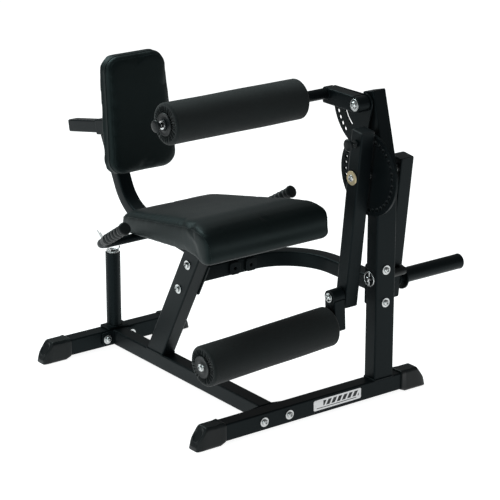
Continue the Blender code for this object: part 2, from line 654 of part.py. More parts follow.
def add_roller(group, material, name, left, right, shaft):
    """Padded roller on a plastic core with a round flange at each end."""
    round_off = 8
    profile = [(left, ROLLER_RADIUS - round_off), (left + round_off, ROLLER_RADIUS),
               (right - round_off, ROLLER_RADIUS), (right, ROLLER_RADIUS - round_off)]
    add(f"{name}_roller", turned(profile, 32, shaft + 4 + GAP), material["cover"], group, smooth=50)
    core, flange = shaft + 4, 35
    profile = [(left - 6, flange - 4), (left - 4, flange), (left - GAP, flange), (left - GAP, core),
               (right + GAP, core), (right + GAP, flange), (right + 4, flange),
               (right + 6, flange - 4)]
    add(f"{name}_hub", turned(profile, 24, shaft + GAP), material["plastic"], group, smooth=40)


# --------------------------------------------------------------- hold-down

def add_hold_down(parts, material):
    group = pivot("hold_down_pivot", parts, (0, HOLD_Y, HOLD_Z))
    outline = rounded_rectangle(HOLD_WIDTH, HOLD_HEIGHT)
    inner = rounded_rectangle(HOLD_WIDTH - 2 * WALL, HOLD_HEIGHT - 2 * WALL, 2)
    left, right = HOLD_X - HOLD_WIDTH / 2, HOLD_X + HOLD_WIDTH / 2
    arm = add("hold_down_arm", straight_tube((HOLD_X, 151, 0), (HOLD_X, 10, 0), outline, inner,
                                             X_AXIS, Z_AXIS, cap=4), material["powder"], group)
    combine(arm, turned([(left, HOLD_HEIGHT / 2), (right, HOLD_HEIGHT / 2)]), "UNION")
    y = HOLD_REACH * math.cos(HOLD_RISE)
    z = HOLD_REACH * math.sin(HOLD_RISE)
    bore_x(arm, left - 20, right + 20, 0, 0, 8 + GAP, 16)
    bore_x(arm, left - 20, left + 10, y, z, HOLD_SHAFT + GAP)
    bore_x(arm, HOLD_X, right + 20, y, z, PIN_RADIUS + GAP, 12)
    shaft = [(UPPER_LEFT - 8, HOLD_SHAFT), (left + 6, HOLD_SHAFT)]
    add("hold_down_shaft", turned(shaft, 24, HOLD_SHAFT_BORE), material["powder"], group,
        (0, y, z), smooth=40)
    spin = pivot("upper_roller_spin", group, (0, y, z))
    add_roller(spin, material, "upper", UPPER_LEFT, UPPER_RIGHT, HOLD_SHAFT)
    add_pull_pin(group, material, "hold_down_pin", (0, y, z), UPPER_LEFT - 40,
                 QUADRANT_X - QUADRANT_THICK / 2 - 1)


# ------------------------------------------------------ seat and handlebar

def add_seat(parts, material):
    """The cushion, deep at the front and tapered to the rear, and its plate."""
    under_rear, under_front = seat_under(SEAT_REAR_Y).z, seat_under(150).z
    # Stations along the seat: y, underside height, top height, width scale.
    stations = ((SEAT_FRONT_Y, 572, 608, 0.93), (SEAT_FRONT_Y + 4, 562, 624, 0.97),
                (24, 552, 638, 0.99), (48, 549, 647, 1.0), (84, under_front, 651, 1.0),
                (150, under_front, 646, 1.0), (330, seat_under(330).z, 612, 1.0),
                (500, seat_under(500).z, 579, 1.0), (536, under_rear + 3, 570, 0.98),
                (550, under_rear + 4, 562, 0.94), (SEAT_REAR_Y, under_rear + 12, 552, 0.88))
    rings = []
    for y, low, high, scale in stations:
        way_back = (y - SEAT_FRONT_Y) / (SEAT_REAR_Y - SEAT_FRONT_Y)
        half = scale * (SEAT_FRONT_HALF + (SEAT_REAR_HALF - SEAT_FRONT_HALF) * way_back)
        shape = rounded_rectangle(2 * half, high - low, SEAT_CORNER, 3)
        rings.append(ring(shape, (0, y, (low + high) / 2), X_AXIS, Z_AXIS))
    add("seat_pad", skin(rings, closed=False), material["vinyl"], parts, smooth=40)
    middle = seat_under(330, SEAT_PLATE / 2 + GAP)
    sheet = rounded_rectangle(150, 190, 12)
    rings = [ring(sheet, (0, 0, z), X_AXIS, Y_AXIS) for z in (-SEAT_PLATE / 2, SEAT_PLATE / 2)]
    add("seat_plate", skin(rings, closed=False), material["powder"], parts, middle, -SEAT_RISE)


def rounded_path(corners, radius, steps):
    """Points along straight runs joined by arcs of the given radius."""
    points = [Vector(corners[0])]
    for before, corner, after in zip(corners, corners[1:], corners[2:]):
        corner = Vector(corner)
        way_in = (Vector(before) - corner).normalized()
        way_out = (Vector(after) - corner).normalized()
        half = way_in.angle(way_out) / 2
        middle = corner + (way_in + way_out).normalized() * (radius / math.sin(half))
        first = corner + way_in * (radius / math.tan(half)) - middle
        last = corner + way_out * (radius / math.tan(half)) - middle
        for step in range(steps + 1):
            turn = first.angle(last) * step / steps
            axis = first.cross(last).normalized()
            points.append(middle + Matrix.Rotation(turn, 3, axis) @ first)
    points.append(Vector(corners[-1]))
    return points


def swept_circle(path, radius, sides):
    """One ring per path point, carried along without twist."""
    rings = []
    side = Vector((0, 0, 1))
    for index, point in enumerate(path):
        ahead = path[min(index + 1, len(path) - 1)] - path[max(index - 1, 0)]
        ahead.normalize()
        side = (side - ahead * side.dot(ahead)).normalized()
        rings.append(ring(circle(radius, sides), point, side, ahead.cross(side)))
    return rings


def add_handlebar(parts, material):
    """One bent tube under the seat and a rubber grip on each end."""
    tips = [Vector((sign * TIP_X, TIP_Y, TIP_Z)) for sign in (-1, 1)]
    bends = [Vector((sign * BAR_HALF, BAR_Y, BAR_Z)) for sign in (-1, 1)]
    ways = [(tip - bend).normalized() for tip, bend in zip(tips, bends)]
    ends = [tip - way * 5 for tip, way in zip(tips, ways)]
    path = rounded_path([ends[0], bends[0], bends[1], ends[1]], BAR_BEND, 5)
    outer = swept_circle(path, BAR_RADIUS, 12)
    inner = swept_circle(path, BAR_RADIUS - 2.5, 12)
    add("handlebar", skin(outer + inner[::-1], closed=True), material["powder"], parts, smooth=40)
    for name, tip, way in (("grip_right", tips[0], ways[0]), ("grip_left", tips[1], ways[1])):
        side = way.cross(Z_AXIS).normalized()
        up = side.cross(way)
        stations = ((0, GRIP_RADIUS - 2), (-3, GRIP_RADIUS + 3), (-9, GRIP_RADIUS + 3),
                    (-12, GRIP_RADIUS), (-GRIP_LENGTH, GRIP_RADIUS),
                    (-GRIP_LENGTH, GRIP_BORE), (-4.5, GRIP_BORE))
        rings = [ring(circle(radius, 16), tip + way * step, side, up)
                 for step, radius in stations]
        add(name, skin(rings, closed=False), material["rubber"], parts, smooth=40)


# ---------------------------------------------------------------- backrest

def tube_axis():
    """Direction of the sliding back tube, forward and slightly up."""
    return Vector((0, -math.cos(TUBE_FALL), math.sin(TUBE_FALL)))


def add_back_support(parts, material):
    """Bent tube from the seat post up to the sleeve behind the cushion."""
    start, knee = Vector((0, 380, 460.4)), Vector((0, 750, 498.7))
    rise = Vector((0, math.cos(math.radians(63.5)), math.sin(math.radians(63.5))))
    centres = rounded_path([start, knee, knee + rise * 260], 150, 8)
    outline = rounded_rectangle(SUPPORT_WIDE, SUPPORT_DEEP)
    inner = rounded_rectangle(SUPPORT_WIDE - 2 * WALL, SUPPORT_DEEP - 2 * WALL, 2)
    post_back = Vector((0, math.cos(POST_LEAN), math.sin(POST_LEAN)))
    post_face = post_point(200) + post_back * (POST_WIDE / 2 + GAP)
    up = tube_axis().cross(X_AXIS)
    up = up if up.z > 0 else -up
    sleeve_face = Vector((0, SLEEVE_Y, SLEEVE_Z)) - up * (SQUARE / 2 + GAP)
    layers = []
    for shape in (outline, inner):
        rings = []
        for index, point in enumerate(centres):
            ahead = centres[min(index + 1, len(centres) - 1)] - centres[max(index - 1, 0)]
            ahead.normalize()
            rings.append(ring(shape, point, X_AXIS, ahead.cross(X_AXIS)))
        run = (centres[1] - centres[0]).normalized()
        rings[0] = slid_to_plane(rings[0], run, post_face, post_back)
        rings[-1] = slid_to_plane(rings[-1], rise, sleeve_face, up)
        layers.append(rings)
    add("back_support", skin(layers[0] + layers[1][::-1], closed=True), material["powder"],
        parts)


def add_back_sleeve(parts, material):
    axis = tube_axis()
    up = axis.cross(X_AXIS)
    centre = Vector((0, SLEEVE_Y, SLEEVE_Z))
    outline = rounded_rectangle(SQUARE, SQUARE)
    inner = rounded_rectangle(TUBE_SIDE + 2 * GAP, TUBE_SIDE + 2 * GAP, CORNER)
    ends = (centre - axis * (SLEEVE_LENGTH / 2), centre + axis * (SLEEVE_LENGTH / 2))
    sleeve = add("back_sleeve", straight_tube(*ends, outline, inner, X_AXIS, up),
                 material["powder"], parts)
    cutter = turned([(SQUARE / 2 - 10, PIN_RADIUS + GAP), (SQUARE, PIN_RADIUS + GAP)], 12)
    combine(sleeve, cutter, "DIFFERENCE", centre)


def add_backrest(parts, material):
    """Sliding tube, plate and cushion, and the pin that locks them."""
    axis = tube_axis()
    up = axis.cross(X_AXIS)
    up = up if up.z > 0 else -up
    centre = Vector((0, SLEEVE_Y, SLEEVE_Z))
    slide = pivot("backrest_slide", parts, centre)
    pad_way = Vector((0, math.cos(BACK_LEAN), -math.sin(BACK_LEAN)))
    pad_up = Vector((0, math.sin(BACK_LEAN), math.cos(BACK_LEAN)))
    pad_face = Vector((0, BACK_Y, BACK_Z)) - centre
    pad_back = pad_face + pad_way * (BACK_THICK + GAP)
    plate_back = pad_back + pad_way * 5
    rear = -axis * ((TUBE_END_Y - SLEEVE_Y) / math.cos(TUBE_FALL))
    outline = rounded_rectangle(TUBE_SIDE, TUBE_SIDE)
    inner = rounded_rectangle(TUBE_SIDE - 2 * WALL, TUBE_SIDE - 2 * WALL, 2)
    far = ring(outline, rear, X_AXIS, up)
    deep = ring(inner, rear + axis * 4, X_AXIS, up)
    face = (plate_back + pad_way * GAP, pad_way)
    rings = [far, slid_to_plane(far, axis, *face), slid_to_plane(deep, axis, *face), deep]
    tube = add("back_tube", skin(rings, closed=False), material["powder"], slide)
    for step in range(-4, 3):
        cutter = turned([(TUBE_SIDE / 2 - 5, PIN_HOLE), (TUBE_SIDE / 2 + 5, PIN_HOLE)], 10)
        combine(tube, cutter, "DIFFERENCE", axis * (BACK_HOLE_PITCH * step))
    sheet = rounded_rectangle(110, 190, 10)
    low = -60
    rings = [ring(sheet, start + pad_up * low, X_AXIS, pad_up) for start in (pad_back, plate_back)]
    add("back_plate", skin(rings, closed=False), material["powder"], slide)
    add_back_pad(slide, material, pad_face, pad_way, pad_up)
    knob = pivot("back_pin_slide", parts, centre)
    profile = [(TUBE_SIDE / 2 + 1, PIN_RADIUS), (SQUARE / 2 + 8, PIN_RADIUS), (SQUARE / 2 + 8, 9),
               (SQUARE / 2 + 11, 12), (SQUARE / 2 + 17, 19), (SQUARE / 2 + 24, 20),
               (SQUARE / 2 + 30, 15)]
    add("back_pin", turned(profile, 20), material["plastic"], knob, smooth=40)


def add_back_pad(slide, material, pad_face, pad_way, pad_up):
    """Back cushion: a rounded trapezium, wider at the bottom."""
    radius, half = 32, BACK_HEIGHT / 2
    corners = ((BACK_TOP_HALF - radius, half - radius, 0), (radius - BACK_TOP_HALF, half - radius, 90),
               (radius - BACK_BOTTOM_HALF, radius - half, 180),
               (BACK_BOTTOM_HALF - radius, radius - half, 270))
    points = []
    for u, v, start in corners:
        points += arc((u, v), radius, math.radians(start), math.radians(start + 90), 5)
    levels = ((0.93, 0), (0.98, 3), (1.0, 10), (1.0, BACK_THICK - 4), (0.98, BACK_THICK))
    rings = []
    for scale, depth in levels:
        outline = [(u * scale, v * scale) for u, v in points]
        rings.append(ring(outline, pad_face + pad_way * depth, X_AXIS, pad_up))
    add("back_pad", skin(rings, closed=False), material["vinyl"], slide, smooth=40)


def clear_scene():
    for thing in list(bpy.data.objects):
        bpy.data.objects.remove(thing, do_unlink=True)


def main():
    clear_scene()
    material = make_materials()
    middle = (-(BOX_MIN_X + BOX_MAX_X) / 2, -(BOX_MIN_Y + BOX_MAX_Y) / 2, 0)
    parts = pivot("machine", None, middle)
    for build in (add_floor_beams, add_main_beam, add_feet, add_beam_bolts, add_storage_post,
                  add_spring_clip, add_seat_post, add_curved_brace, add_brace_tabs,
                  add_upright, add_upper_post, add_pivot_barrel, add_quadrant, add_stop,
                  add_weight_arm, add_leg_lever, add_hold_down, add_seat, add_handlebar,
                  add_back_support, add_back_sleeve, add_backrest):
        build(parts, material)


main()
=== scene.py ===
"""Looks for a plate-loaded leg extension and leg curl machine.

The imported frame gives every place.  New pieces are numpy surfaces laid round it: cushions,
gathered roller covers, bent tubes, shoes, grips, knobs, bolts, welds and end plugs.
"""
import json

import bmesh
import bpy
import numpy as np
from bpy.props import FloatProperty, FloatVectorProperty, IntProperty, PointerProperty
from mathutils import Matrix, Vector
from mathutils.bvhtree import BVHTree


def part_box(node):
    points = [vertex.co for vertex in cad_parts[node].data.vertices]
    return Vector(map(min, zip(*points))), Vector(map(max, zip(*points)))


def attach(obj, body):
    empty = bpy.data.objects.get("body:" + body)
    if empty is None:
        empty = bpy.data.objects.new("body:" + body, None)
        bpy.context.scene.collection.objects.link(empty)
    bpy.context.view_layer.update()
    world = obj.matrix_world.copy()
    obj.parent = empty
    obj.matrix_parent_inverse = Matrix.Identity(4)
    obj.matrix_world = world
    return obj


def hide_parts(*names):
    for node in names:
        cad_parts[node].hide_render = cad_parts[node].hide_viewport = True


bl_info = {
    "name": "Leg machine looks",
    "version": (1, 0, 0),
    "blender": (4, 5, 0),
    "location": "View3D > Sidebar > Leg machine",
    "description": "Cushions, covers, tubes, fittings and finishes of a leg machine",
    "category": "Object",
}

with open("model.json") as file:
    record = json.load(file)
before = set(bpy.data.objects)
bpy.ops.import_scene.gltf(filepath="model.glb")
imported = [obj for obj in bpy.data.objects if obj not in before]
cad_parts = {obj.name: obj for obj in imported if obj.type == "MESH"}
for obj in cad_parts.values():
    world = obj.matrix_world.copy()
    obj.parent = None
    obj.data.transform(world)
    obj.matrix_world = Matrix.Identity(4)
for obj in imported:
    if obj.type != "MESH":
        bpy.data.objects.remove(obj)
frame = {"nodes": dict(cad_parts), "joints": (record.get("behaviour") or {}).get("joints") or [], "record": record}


# ------------------------------------------------------------------ places

def middle(node):
    low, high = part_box(node)
    return (np.array(low) + np.array(high)) / 2


def corner(node, end):
    return np.array(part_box(node)[end])


def face(node, axis, end):
    """The middle of one side of a node's box: end is 0 for the low side and 1 for the high."""
    place = middle(node)
    place[axis] = corner(node, end)[axis]
    return place


START = np.array((middle("seat_pad")[0], middle("front_beam")[1], 0.0))


def at(x, y, z):
    """A point from millimetres: X from the seat's middle, Y from the front beam, Z from floor."""
    return START + np.array((x, y, z)) / 1000


def joint(name, key="pos_m"):
    return np.array(next(j[key] for j in frame["joints"] if j["name"] == name), float)


X, Y, Z = np.eye(3)
ARM_LEAN = np.radians(6.8)                   # lever and weight arm from plumb
ARM_UP = np.array((0, -np.sin(ARM_LEAN), np.cos(ARM_LEAN)))
FALL = np.radians(11.2)                      # back tube from level
TUBE_FORWARD = np.array((0, -np.cos(FALL), np.sin(FALL)))
TUBE_UP = np.array((0, np.sin(FALL), np.cos(FALL)))
POST_LEAN = np.radians(28.8)                 # seat post from plumb
POST_UP = np.array((0, -np.sin(POST_LEAN), np.cos(POST_LEAN)))
POST_BACK = np.array((0, np.cos(POST_LEAN), np.sin(POST_LEAN)))
PAD_LEAN = np.radians(7.5)                   # back cushion from plumb
PAD_BACK = np.array((0, np.cos(PAD_LEAN), -np.sin(PAD_LEAN)))
PAD_UP = np.array((0, np.sin(PAD_LEAN), np.cos(PAD_LEAN)))
HEAD_LEAN = np.radians(15)                   # upper post from plumb
HEAD_UP = np.array((0, np.sin(HEAD_LEAN), np.cos(HEAD_LEAN)))
SUPPORT_RISE = np.radians(63.5)              # back support's upper run from level

POST_FOOT = 589                              # seat post's middle line at the floor beam's top
BRACE_OFF, BRACE_HEIGHT = 418, 369           # curved brace's two straight runs, and their height
SLEEVE = at(0, 872, 746.7)                   # middle of the back tube's sleeve
BACK_FACE = at(0, 682.4, 835)                # middle of the back cushion's front
COVER_SIDES = 540                            # points round a roller cover
LABEL_SIZE = (0.186, 0.034)


# ---------------------------------------------------------------- surfaces

def unit(way):
    way = np.asarray(way, float)
    return way / np.linalg.norm(way, axis=-1, keepdims=True)


def shell(name, rings, ends="cap", sharp=38):
    """Skin over a grid of points: row i is a closed ring, and quads join ring i to i + 1.

    ends is cap for a fan to each end ring's middle, or loop to join the last ring to the first.
    The UV map's V runs along the rings' middles in metres and its U once round each ring.
    """
    count, around = rings.shape[:2]
    rows = count if ends == "loop" else count - 1
    i, j = np.meshgrid(np.arange(rows), np.arange(around), indexing="ij")
    nexti, nextj = (i + 1) % count, (j + 1) % around
    quads = np.stack([i * around + j, i * around + nextj,
                      nexti * around + nextj, nexti * around + j], -1).reshape(-1, 4)
    middles = rings.mean(1)
    steps = np.linalg.norm(np.diff(middles, axis=0), axis=1)
    steps = np.maximum(steps, np.abs(np.diff(np.ptp(rings, axis=1).max(1))) / 2)
    along = np.concatenate([[0], np.cumsum(steps), [steps.sum()]])
    u = np.stack([j, j + 1, j + 1, j], -1) / around
    v = np.stack([along[i], along[i], along[i + 1], along[i + 1]], -1)
    uv = np.stack([u, v], -1).reshape(-1, 2)
    verts, faces = rings.reshape(-1, 3), quads.tolist()
    if ends == "cap":
        k = np.arange(around)
        hub, far = count * around, (count - 1) * around
        verts = np.vstack([verts, middles[0], middles[-1]])
        faces += np.stack([(k + 1) % around, k, np.full(around, hub)], -1).tolist()
        faces += np.stack([far + k, far + (k + 1) % around, np.full(around, hub + 1)], -1).tolist()
        uv = np.vstack([uv, np.zeros((6 * around, 2))])
    mesh = bpy.data.meshes.new(name)
    mesh.from_pydata(verts.tolist(), [], faces)
    mesh.uv_layers.new(name="UVMap").data.foreach_set("uv", uv.astype(np.float32).ravel())
    return finish_mesh(name, mesh, sharp)


def finish_mesh(name, mesh, sharp):
    """Welds doubles, turns faces outwards and shades edges flatter than sharp degrees smooth."""
    edit = bmesh.new()
    edit.from_mesh(mesh)
    bmesh.ops.remove_doubles(edit, verts=edit.verts, dist=1e-7)
    bmesh.ops.recalc_face_normals(edit, faces=edit.faces)
    edit.to_mesh(mesh)
    edit.free()
    mesh.shade_smooth()
    mesh.set_sharp_from_angle(angle=np.radians(sharp))
    thing = bpy.data.objects.new(name, mesh)
    bpy.context.scene.collection.objects.link(thing)
    return thing


def joined(name, parts):
    """One piece from several shells."""
    edit = bmesh.new()
    for part in parts:
        edit.from_mesh(part.data)
        old = part.data
        bpy.data.objects.remove(part)
        bpy.data.meshes.remove(old)
    mesh = bpy.data.meshes.new(name)
    edit.to_mesh(mesh)
    edit.free()
    thing = bpy.data.objects.new(name, mesh)
    bpy.context.scene.collection.objects.link(thing)
    return thing


def rounded(width, depth, radius, steps=6):
    """Outline of a rectangle whose corners are quarter circles of the given radius."""
    turn = (np.arange(4)[:, None] + np.linspace(0, 1, steps + 1)) * np.pi / 2
    signs = np.array([(1, 1), (-1, 1), (-1, -1), (1, -1)])[:, None]
    centres = signs * (np.array((width, depth)) / 2 - radius)
    return (centres + radius * np.stack([np.cos(turn), np.sin(turn)], -1)).reshape(-1, 2)


def spread(points, count, closed=True):
    """The same line as count points at equal distances along it."""
    line = np.vstack([points, points[:1]]) if closed else points
    run = np.concatenate([[0], np.cumsum(np.linalg.norm(np.diff(line, axis=0), axis=1))])
    want = np.linspace(0, run[-1], count, endpoint=not closed)
    return np.stack([np.interp(want, run, line[:, k]) for k in range(line.shape[1])], -1)


def placed(outline, origin, across, up):
    """Outline (u, v) set in space as origin + u * across + v * up."""
    return origin + outline[..., :1] * across + outline[..., 1:] * up


def circle(sides=32):
    turn = np.arange(sides) / sides * np.pi * 2
    return np.stack([np.cos(turn), np.sin(turn)], -1)


def spokes(way, sides):
    """Directions round a line, at right angles to it."""
    side = unit(np.cross(way, Z if abs(way[2]) < 0.9 else X))
    return placed(circle(sides), 0, side, np.cross(way, side))


def hexagon(sides):
    """A hexagon's radius over its inner radius: one over the cosine from a flat's middle."""
    turn = np.arange(sides) / sides * np.pi * 2
    return 1 / np.cos((turn + np.pi / 6) % (np.pi / 3) - np.pi / 6)


def turned(name, profile, origin, way, sides=48, ends="cap", sharp=38):
    """Profile rows (distance along way, radius), in millimetres, turned once about way."""
    profile = np.array(profile, float) / 1000
    way = unit(way)
    rings = origin + profile[:, None, :1] * way + profile[:, None, 1:] * spokes(way, sides)
    return shell(name, rings, ends, sharp)


def rounded_path(corners, radius, steps=12):
    """Straight runs joined by arcs: each arc turns its first spoke towards its last."""
    corners = np.array(corners, float)
    line = [corners[:1]]
    for before, bend, after in zip(corners, corners[1:], corners[2:]):
        way_in, way_out = unit(before - bend), unit(after - bend)
        half = np.arccos(way_in @ way_out) / 2
        centre = bend + unit(way_in + way_out) * radius / np.sin(half)
        first = bend + way_in * radius / np.tan(half) - centre
        last = bend + way_out * radius / np.tan(half) - centre
        turn = np.arccos(first @ last / radius ** 2)
        t = np.linspace(0, 1, steps + 1)[:, None]
        line.append(centre + (np.sin((1 - t) * turn) * first + np.sin(t * turn) * last)
                    / np.sin(turn))
    line.append(corners[-1:])
    return np.vstack(line)


def sweep(outline, path, side, closed=False):
    """The outline carried along a path: u along side, v along tangent x side."""
    if closed:
        ahead = unit(np.roll(path, -1, 0) - np.roll(path, 1, 0))
    else:
        ahead = unit(np.gradient(path, axis=0))
    side = np.broadcast_to(side, path.shape)
    side = unit(side - ahead * (side * ahead).sum(1, keepdims=True))
    up = np.cross(ahead, side)
    scale = outline if outline.ndim == 3 else outline[None]
    return path[:, None] + scale[..., :1] * side[:, None] + scale[..., 1:] * up[:, None]


def cut(ring, way, point, normal):
    """A ring slid along way on to a plane."""
    return ring + way * (((point - ring) @ normal) / (way @ normal))[:, None]


def wire(name, path, radius, side=X, closed=False, sides=14):
    """A round wire: a circle swept along the path."""
    rings = sweep(circle(sides) * radius, path, side, closed)
    return shell(name, rings, "loop" if closed else "cap", 60)


def closest(thing, points):
    """Each point's nearest place on a piece, and the surface's direction there."""
    edit = bmesh.new()
    edit.from_mesh(thing.data)
    tree = BVHTree.FromBMesh(edit)
    edit.free()
    hits = [tree.find_nearest(Vector(p)) for p in points]
    return np.array([h[0] for h in hits]), np.array([h[1] for h in hits])


# --------------------------------------------------------------- materials

class Socket:
    """A shader value: arithmetic on it adds Math nodes."""

    def __init__(self, tree, out):
        self.tree, self.out = tree, out

    def maths(self, operation, *others, swap=False):
        node = self.tree.nodes.new("ShaderNodeMath")
        node.operation = operation
        terms = (*others, self) if swap else (self, *others)
        for slot, term in zip(node.inputs, terms):
            if isinstance(term, Socket):
                self.tree.links.new(term.out, slot)
            else:
                slot.default_value = term
        return Socket(self.tree, node.outputs[0])

    def __add__(self, other):
        return self.maths("ADD", other)

    def __sub__(self, other):
        return self.maths("SUBTRACT", other)

    def __rsub__(self, other):
        return self.maths("SUBTRACT", other, swap=True)

    def __mul__(self, other):
        return self.maths("MULTIPLY", other)

    __radd__, __rmul__ = __add__, __mul__


class Finish:
    """A principled material: fixed sockets are set once, varying ones take expressions."""

    def __init__(self, name, fixed):
        self.material = bpy.data.materials.new(name)
        self.material.use_nodes = True
        self.tree = self.material.node_tree
        self.shader = self.tree.nodes["Principled BSDF"]
        self.feed(self.shader, fixed)

    def feed(self, node, inputs):
        for key, value in inputs.items():
            if isinstance(value, Socket):
                self.tree.links.new(value.out, node.inputs[key])
            else:
                node.inputs[key].default_value = value

    def node(self, kind, settings=None, inputs=None, out=0):
        node = self.tree.nodes.new(kind)
        for key, value in (settings or {}).items():
            setattr(node, key, value)
        self.feed(node, inputs or {})
        return Socket(self.tree, node.outputs[out])

    def place(self, out="Object"):
        return self.node("ShaderNodeTexCoord", out=out)

    def uv(self):
        """The two coordinates of the piece's own UV map."""
        split = self.node("ShaderNodeSeparateXYZ", inputs={"Vector": self.place("UV")}).out.node
        return Socket(self.tree, split.outputs[0]), Socket(self.tree, split.outputs[1])

    def noise(self, place, scale, detail=2.0):
        return self.node("ShaderNodeTexNoise",
                         inputs={"Vector": place, "Scale": scale, "Detail": detail})

    def mix(self, share, first, second):
        return self.node("ShaderNodeMix", {"data_type": "RGBA"},
                         {0: share, 6: (*first, 1) if isinstance(first, tuple) else first,
                          7: (*second, 1) if isinstance(second, tuple) else second}, 2)

    def bump(self, height, distance, strength=1.0, normal=None):
        inputs = {"Height": height, "Distance": distance, "Strength": strength}
        if normal:
            inputs["Normal"] = normal
        return self.node("ShaderNodeBump", inputs=inputs)

    def done(self, **varying):
        self.feed(self.shader, {key.replace("_", " "): value for key, value in varying.items()})
        return self.material


def times(colour, factor):
    return tuple(channel * factor for channel in colour)


def powder_coat(colour):
    """Satin powder coat: fine orange peel, cloudy gloss and a painted highlight on the edges."""
    finish = Finish("satin_powder_coat", {"Specular IOR Level": 0.11,
                                          "Specular Tint": (0.72, 0.95, 1, 1)})
    place = finish.place()
    peel = finish.noise(place, 1100, 2)
    cloud = finish.noise(place, 9, 4)
    soft = finish.node("ShaderNodeBevel", {"samples": 4}, {"Radius": 0.0022})
    hard = finish.node("ShaderNodeNewGeometry", out="True Normal")
    same = finish.node("ShaderNodeVectorMath", {"operation": "DOT_PRODUCT"},
                       {0: soft, 1: hard}, "Value")
    # painted highlight: share of lightening along rounded edges, where the bevelled normal parts from the true one
    edge = ((1 - same) * 3).maths("MINIMUM", 1.0)
    body = finish.mix(cloud, times(colour, 0.8), times(colour, 1.25))
    # base colour lightened towards 2.6 times the coat's colour on edges as a painted highlight
    return finish.done(Base_Color=finish.mix(edge * 0.5, body, times(colour, 2.6)),
                       Roughness=0.3 + cloud * 0.16 + peel * 0.06,
                       Normal=finish.bump(peel, 0.00006, 0.6, soft))


def vinyl(colour):
    """Upholstery vinyl: pebbled grain of about a millimetre under a soft sheen."""
    finish = Finish("upholstery_vinyl", {"Specular IOR Level": 0.2,
                                         "Specular Tint": (0.72, 1, 1, 1)})
    place = finish.place()
    pebble = finish.node("ShaderNodeTexVoronoi", {"feature": "SMOOTH_F1"},
                         {"Vector": place, "Scale": 820.0, "Smoothness": 0.5})
    crease = finish.noise(place, 160, 3)
    cloud = finish.noise(place, 7, 3)
    return finish.done(Base_Color=finish.mix(cloud, times(colour, 0.85), times(colour, 1.2)),
                       Roughness=0.4 + cloud * 0.1 + pebble * 0.12,
                       Normal=finish.bump(pebble * 0.7 + crease * 0.5, 0.00022, 0.45))


def roller_cloth(colour):
    """Matt knitted cover: courses and wales about 1.1 mm apart, along and round the roller."""
    finish = Finish("roller_cloth", {"Specular IOR Level": 0.1, "Sheen Weight": 0.12,
                                     "Sheen Roughness": 0.6})
    around, along = finish.uv()
    wale = (around * (2 * np.pi * 350)).maths("SINE")
    course = (along * (2 * np.pi * 900)).maths("SINE")
    cloud = finish.noise(finish.place(), 22, 4)
    fuzz = finish.noise(finish.place(), 1500, 2)
    return finish.done(Base_Color=finish.mix(cloud, times(colour, 0.75), times(colour, 1.3)),
                       Roughness=0.78 + cloud * 0.14,
                       Normal=finish.bump(wale * course * 0.5 + fuzz, 0.00016, 0.5))


def moulded(name, colour, roughness, grain):
    """Moulded rubber or plastic: even grain and faint cloudiness from the mould."""
    finish = Finish(name, {"Specular IOR Level": 0.2})
    place = finish.place()
    cloud = finish.noise(place, 25, 3)
    fine = finish.noise(place, grain, 2)
    return finish.done(Base_Color=finish.mix(cloud, times(colour, 0.8), times(colour, 1.25)),
                       Roughness=roughness + cloud * 0.12,
                       Normal=finish.bump(fine, 0.00008, 0.5))


def plated(name, colour, roughness, cloudiness):
    """Plated metal: bright, with cloudy gloss and hair-fine turning marks."""
    finish = Finish(name, {"Metallic": 1.0})
    place = finish.place()
    cloud = finish.noise(place, 120, 3)
    scratch = finish.noise(place, 2600, 2)
    return finish.done(Base_Color=finish.mix(cloud, times(colour, 1 - cloudiness), colour),
                       Roughness=roughness + cloud * 0.16 + scratch * 0.05,
                       Normal=finish.bump(scratch, 0.00002, 0.4))


def label_face(plate, ink):
    """Brushed plate with a rule and a block of slanted bars, from the plate's own UV map."""
    finish = Finish("label_face", {"Metallic": 0.35})
    u, v = finish.uv()

    def between(value, low, high):
        return value.maths("GREATER_THAN", low) * value.maths("LESS_THAN", high)

    slant = (u * 9 - v * 0.9).maths("FRACT")
    bars = between(slant, 0.0, 0.66) * between(u, 0.2, 0.95) * between(v, 0.34, 0.84)
    rule = between(u, 0.06, 0.9) * between(v, 0.16, 0.23)
    brush = finish.noise(finish.node("ShaderNodeMapping", inputs={
        "Vector": finish.place(), "Scale": (30, 900, 900)}), 3, 3)
    silver = finish.mix(brush, times(plate, 0.86), plate)
    return finish.done(Base_Color=finish.mix(bars.maths("MAXIMUM", rule), silver, ink),
                       Roughness=0.3 + brush * 0.14)


def floor_paint(colour):
    """Matt white paint that glows a little, so that the floor stays white to its far edge."""
    finish = Finish("floor_paint", {"Specular IOR Level": 0.0, "Emission Strength": 0.92,
                                    "Emission Color": (1, 1, 1, 1)})
    cloud = finish.noise(finish.place(), 0.7, 2)
    return finish.done(Base_Color=finish.mix(cloud, times(colour, 0.995), colour),
                       Roughness=0.9 + cloud * 0.05)


PAINT = {}                                   # finishes by the names that dress takes


def dress(thing, paint, body="frame", replaced=()):
    """Gives a piece its finish and body, and hides what it stands for."""
    thing.data.materials.clear()
    thing.data.materials.append(PAINT[paint])
    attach(thing, body)
    if replaced:
        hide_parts(*replaced)
    return thing


# ---------------------------------------------------------------- settings

def colour_setting(name, description, default):
    return FloatVectorProperty(name=name, description=description, default=default,
                               subtype="COLOR", size=3, min=0, max=1)


